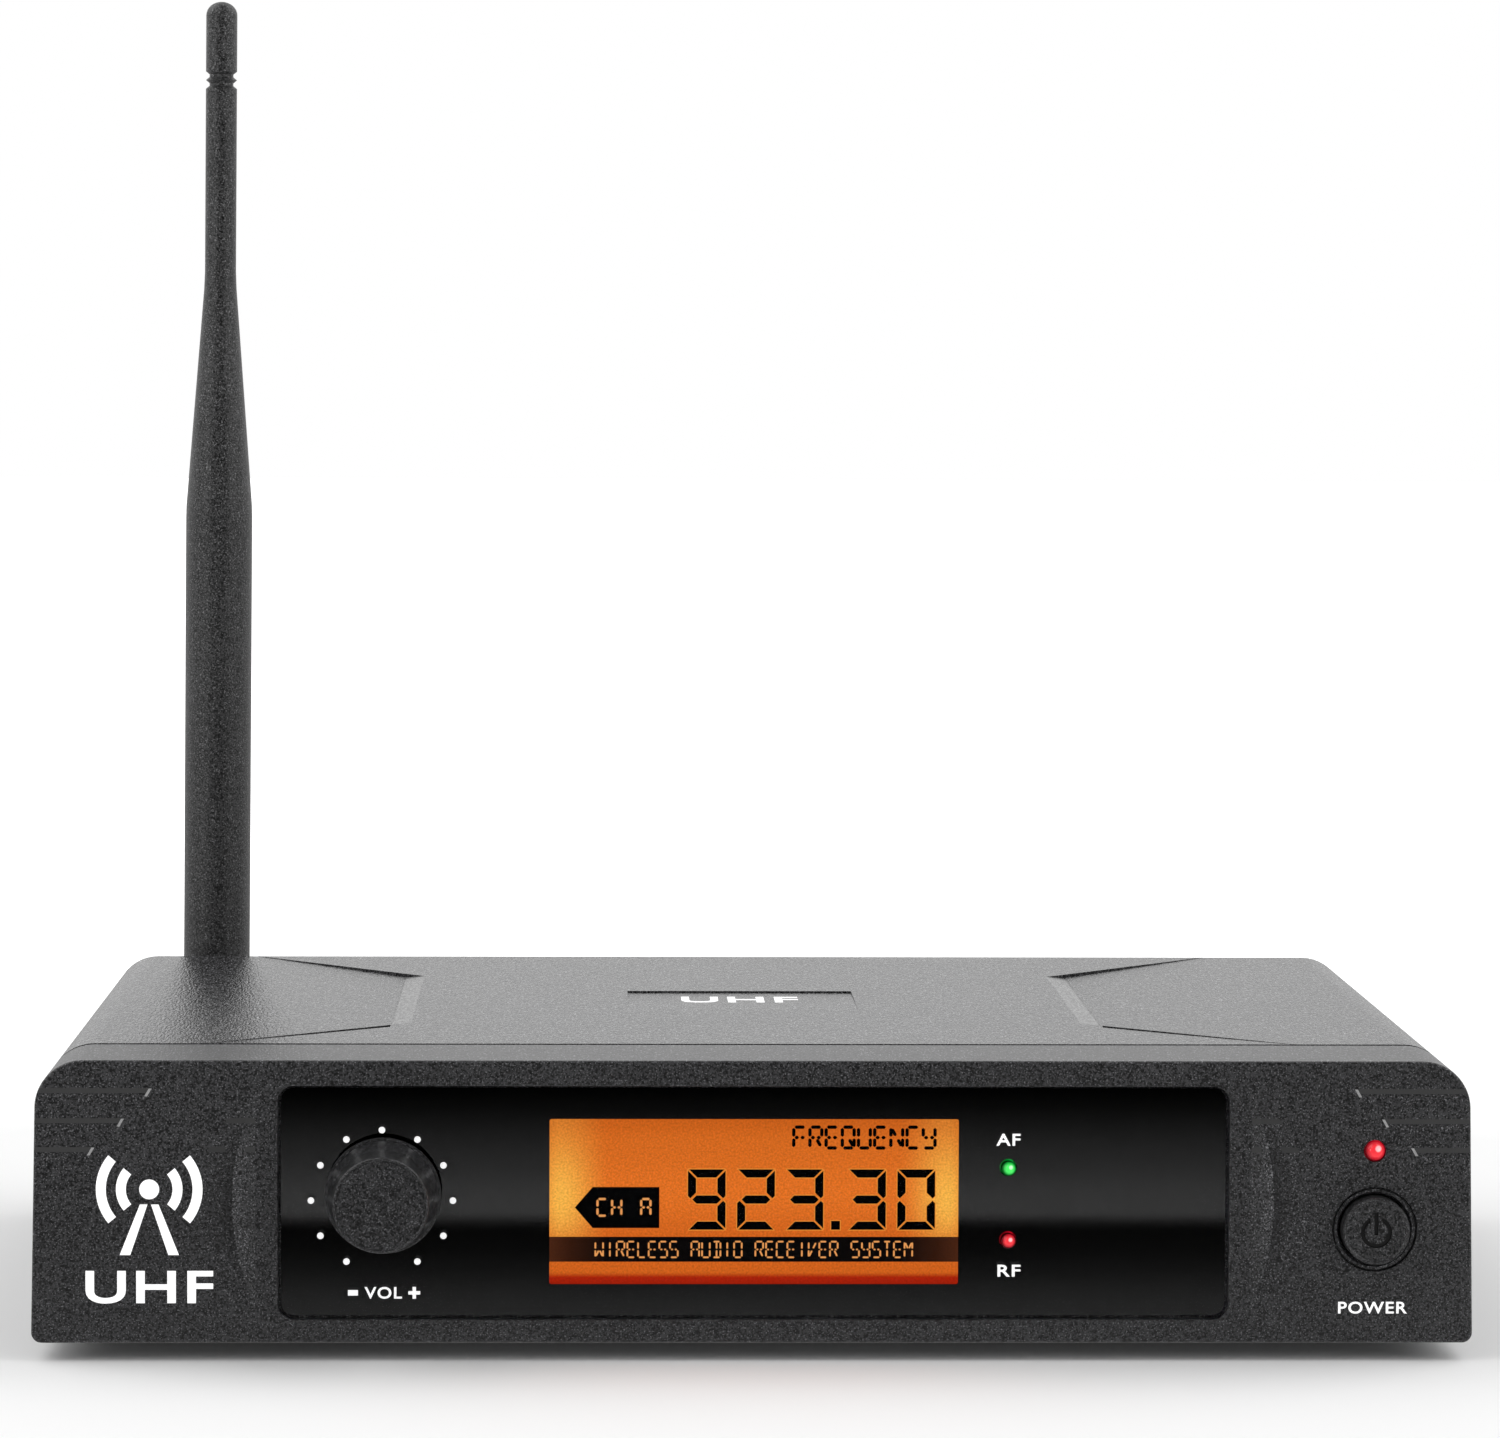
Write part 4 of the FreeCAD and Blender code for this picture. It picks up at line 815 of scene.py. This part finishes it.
def emblem():
    """A plain pictogram of a radio mast between waves, over the name of the band."""
    x, z, stroke = -87.8, 25.2, 1.45
    shapes = [disc(x, z, stroke)]
    for radius in (4.1, 7.0):
        for direction in (0, 180):
            shapes.append(arc_band(x, z, radius, stroke, direction - 40, direction + 40))
    for side in (-1, 1):
        leg = [(0.25, -2.2), (1.35, -2.2), (4.3, -9.6), (2.75, -9.6)]
        shapes.append([(x + side * u, z + w) for u, w in leg])
    printed("print_emblem", shapes, FRONT)
    lettering("print_front_name", "UHF", x, 10.9, 18.5, 4.8)


def roof_name():
    """The name of the band, printed on the sloping floor of the roof's recess."""
    start, sink, run = FRONT + 68.0, 0.25, 27.0

    def lying(u, w, t):
        return (u, w, ROOF - sink * (w - start) / run - t)

    lettering("print_roof_name", "UHF", -0.2, FRONT + 83.5, 18.6, 9.0, 0.0, lying)


display_contents()
front_prints()
emblem()
roof_name()


# Stage: floor, light and camera

def pale_floor():
    """A white studio floor, glowing away from the unit so that it meets the background.

    Reflections see grey cards on the floor instead: brighter towards the unit, with one
    dark stripe.
    """
    bpy.ops.mesh.primitive_plane_add(size=12.0, location=(0, 0, 0))
    floor = bpy.context.object
    floor.name = "studio_floor"
    material = bpy.data.materials.new("studio_floor_white")
    material.use_nodes = True
    tree = material.node_tree
    tree.nodes.clear()
    place = coordinates(tree)
    away = add(tree, "ShaderNodeVectorMath", vector=place)
    away.operation = "LENGTH"
    rising = scaled(tree, away.outputs["Value"], 0.0, 1.0, 0.22, 0.66)
    paint = add(tree, "ShaderNodeBsdfDiffuse", color=rgba(0.9))
    lift = add(tree, "ShaderNodeEmission", strength=rising)
    lifted = tree.nodes.new("ShaderNodeAddShader")
    tree.links.new(paint.outputs[0], lifted.inputs[0])
    tree.links.new(lift.outputs[0], lifted.inputs[1])
    ahead = progress(tree, axes(tree, place)[1], FILM_FACE, FILM_FACE - 400)
    cards = ramp(tree, ahead, [
        (0.0, 0.62), (0.11, 0.46), (0.158, 0.31), (0.209, 0.15), (0.263, 0.068),
        (0.325, 0.040), (0.345, 0.18), (0.372, 0.86), (0.44, 0.77), (0.505, 0.53),
        (0.573, 0.38), (0.645, 0.20), (0.72, 0.068), (0.80, 0.008), (0.85, 0.0),
    ])
    mirrored = add(tree, "ShaderNodeEmission", color=cards)
    path = tree.nodes.new("ShaderNodeLightPath")
    mirror = math_node(tree, "MAXIMUM", path.outputs["Is Glossy Ray"], path.outputs["Is Transmission Ray"])
    surface = choice(tree, mirror, lifted.outputs[0], mirrored.outputs[0])
    tree.links.new(surface, tree.nodes.new("ShaderNodeOutputMaterial").inputs["Surface"])
    floor.data.materials.append(material)


def studio_world():
    """White for the camera, grey as a light; in reflections bright behind and dim in front."""
    world = bpy.data.worlds.new("studio_world")
    scene.world = world
    world.use_nodes = True
    tree = world.node_tree
    tree.nodes.clear()
    direction = tree.nodes.new("ShaderNodeTexCoord").outputs["Generated"]
    backward = scaled(tree, axes(tree, direction)[1], 0.0, 1.0, -1.0, 1.0)
    level = ramp(tree, backward, [(0.0, 0.08), (0.45, 0.10), (0.75, 0.7), (1.0, 1.0)])
    mirrored = add(tree, "ShaderNodeBackground", color=level, strength=1.1)
    ambient = add(tree, "ShaderNodeBackground", color=rgba(1.0), strength=0.5)
    seen = add(tree, "ShaderNodeBackground", color=rgba(1.0), strength=1.0)
    path = tree.nodes.new("ShaderNodeLightPath")
    unseen = choice(tree, path.outputs["Is Diffuse Ray"], mirrored.outputs[0], ambient.outputs[0])
    surface = choice(tree, path.outputs["Is Camera Ray"], unseen, seen.outputs[0])
    tree.links.new(surface, tree.nodes.new("ShaderNodeOutputWorld").inputs["Surface"])


def softbox(name, place, target, width, height, power):
    lamp = bpy.data.lights.new(name, "AREA")
    lamp.shape = "RECTANGLE"
    lamp.size = width
    lamp.size_y = height
    lamp.energy = power
    holder = bpy.data.objects.new(name, lamp)
    scene.collection.objects.link(holder)
    holder.location = place
    aim = Vector(target) - Vector(place)
    holder.rotation_euler = aim.to_track_quat("-Z", "Y").to_euler()
    holder.visible_camera = False


def softbox_pair(name, place, target, width, height, powers):
    """The same softbox on the left and on the right, each with its own power."""
    x, y, z = place
    for word, side, power in zip(("left", "right"), (-1, 1), powers):
        softbox(f"{name}_{word}", (side * x, y, z), target, width, height, power)


def camera():
    """A long lens close to the floor, in front of the unit and a little left of its middle."""
    data = bpy.data.cameras.new("camera")
    holder = bpy.data.objects.new("camera", data)
    scene.collection.objects.link(holder)
    data.sensor_width = 36.0
    data.lens = 142.82
    place = Vector((-23.44, FRONT - 859.06, 146.41)) * MM
    yaw, pitch, roll = -0.0262, -0.0612, -0.0041
    turn = Matrix.Rotation(yaw, 4, "Z") @ Matrix.Rotation(pitch, 4, "X") @ Matrix.Rotation(roll, 4, "Y")
    holder.matrix_world = Matrix.Translation(place) @ turn @ Matrix.Rotation(math.pi / 2, 4, "X")
    scene.camera = holder


pale_floor()
studio_world()
softbox_pair("softbox", (1.0, 0.15, 1.0), (0, -0.05, 0.02), 1.6, 1.6, (10.5, 10.5))
softbox_pair("softbox_low", (0.95, -0.75, 0.30), (0, -0.08, 0.02), 0.3, 0.4, (1.6, 1.6))
softbox_pair("softbox_over", (0.75, -0.8, 0.95), (0, -0.15, 0.0), 0.35, 0.35, (0.8, 0.3))
camera()
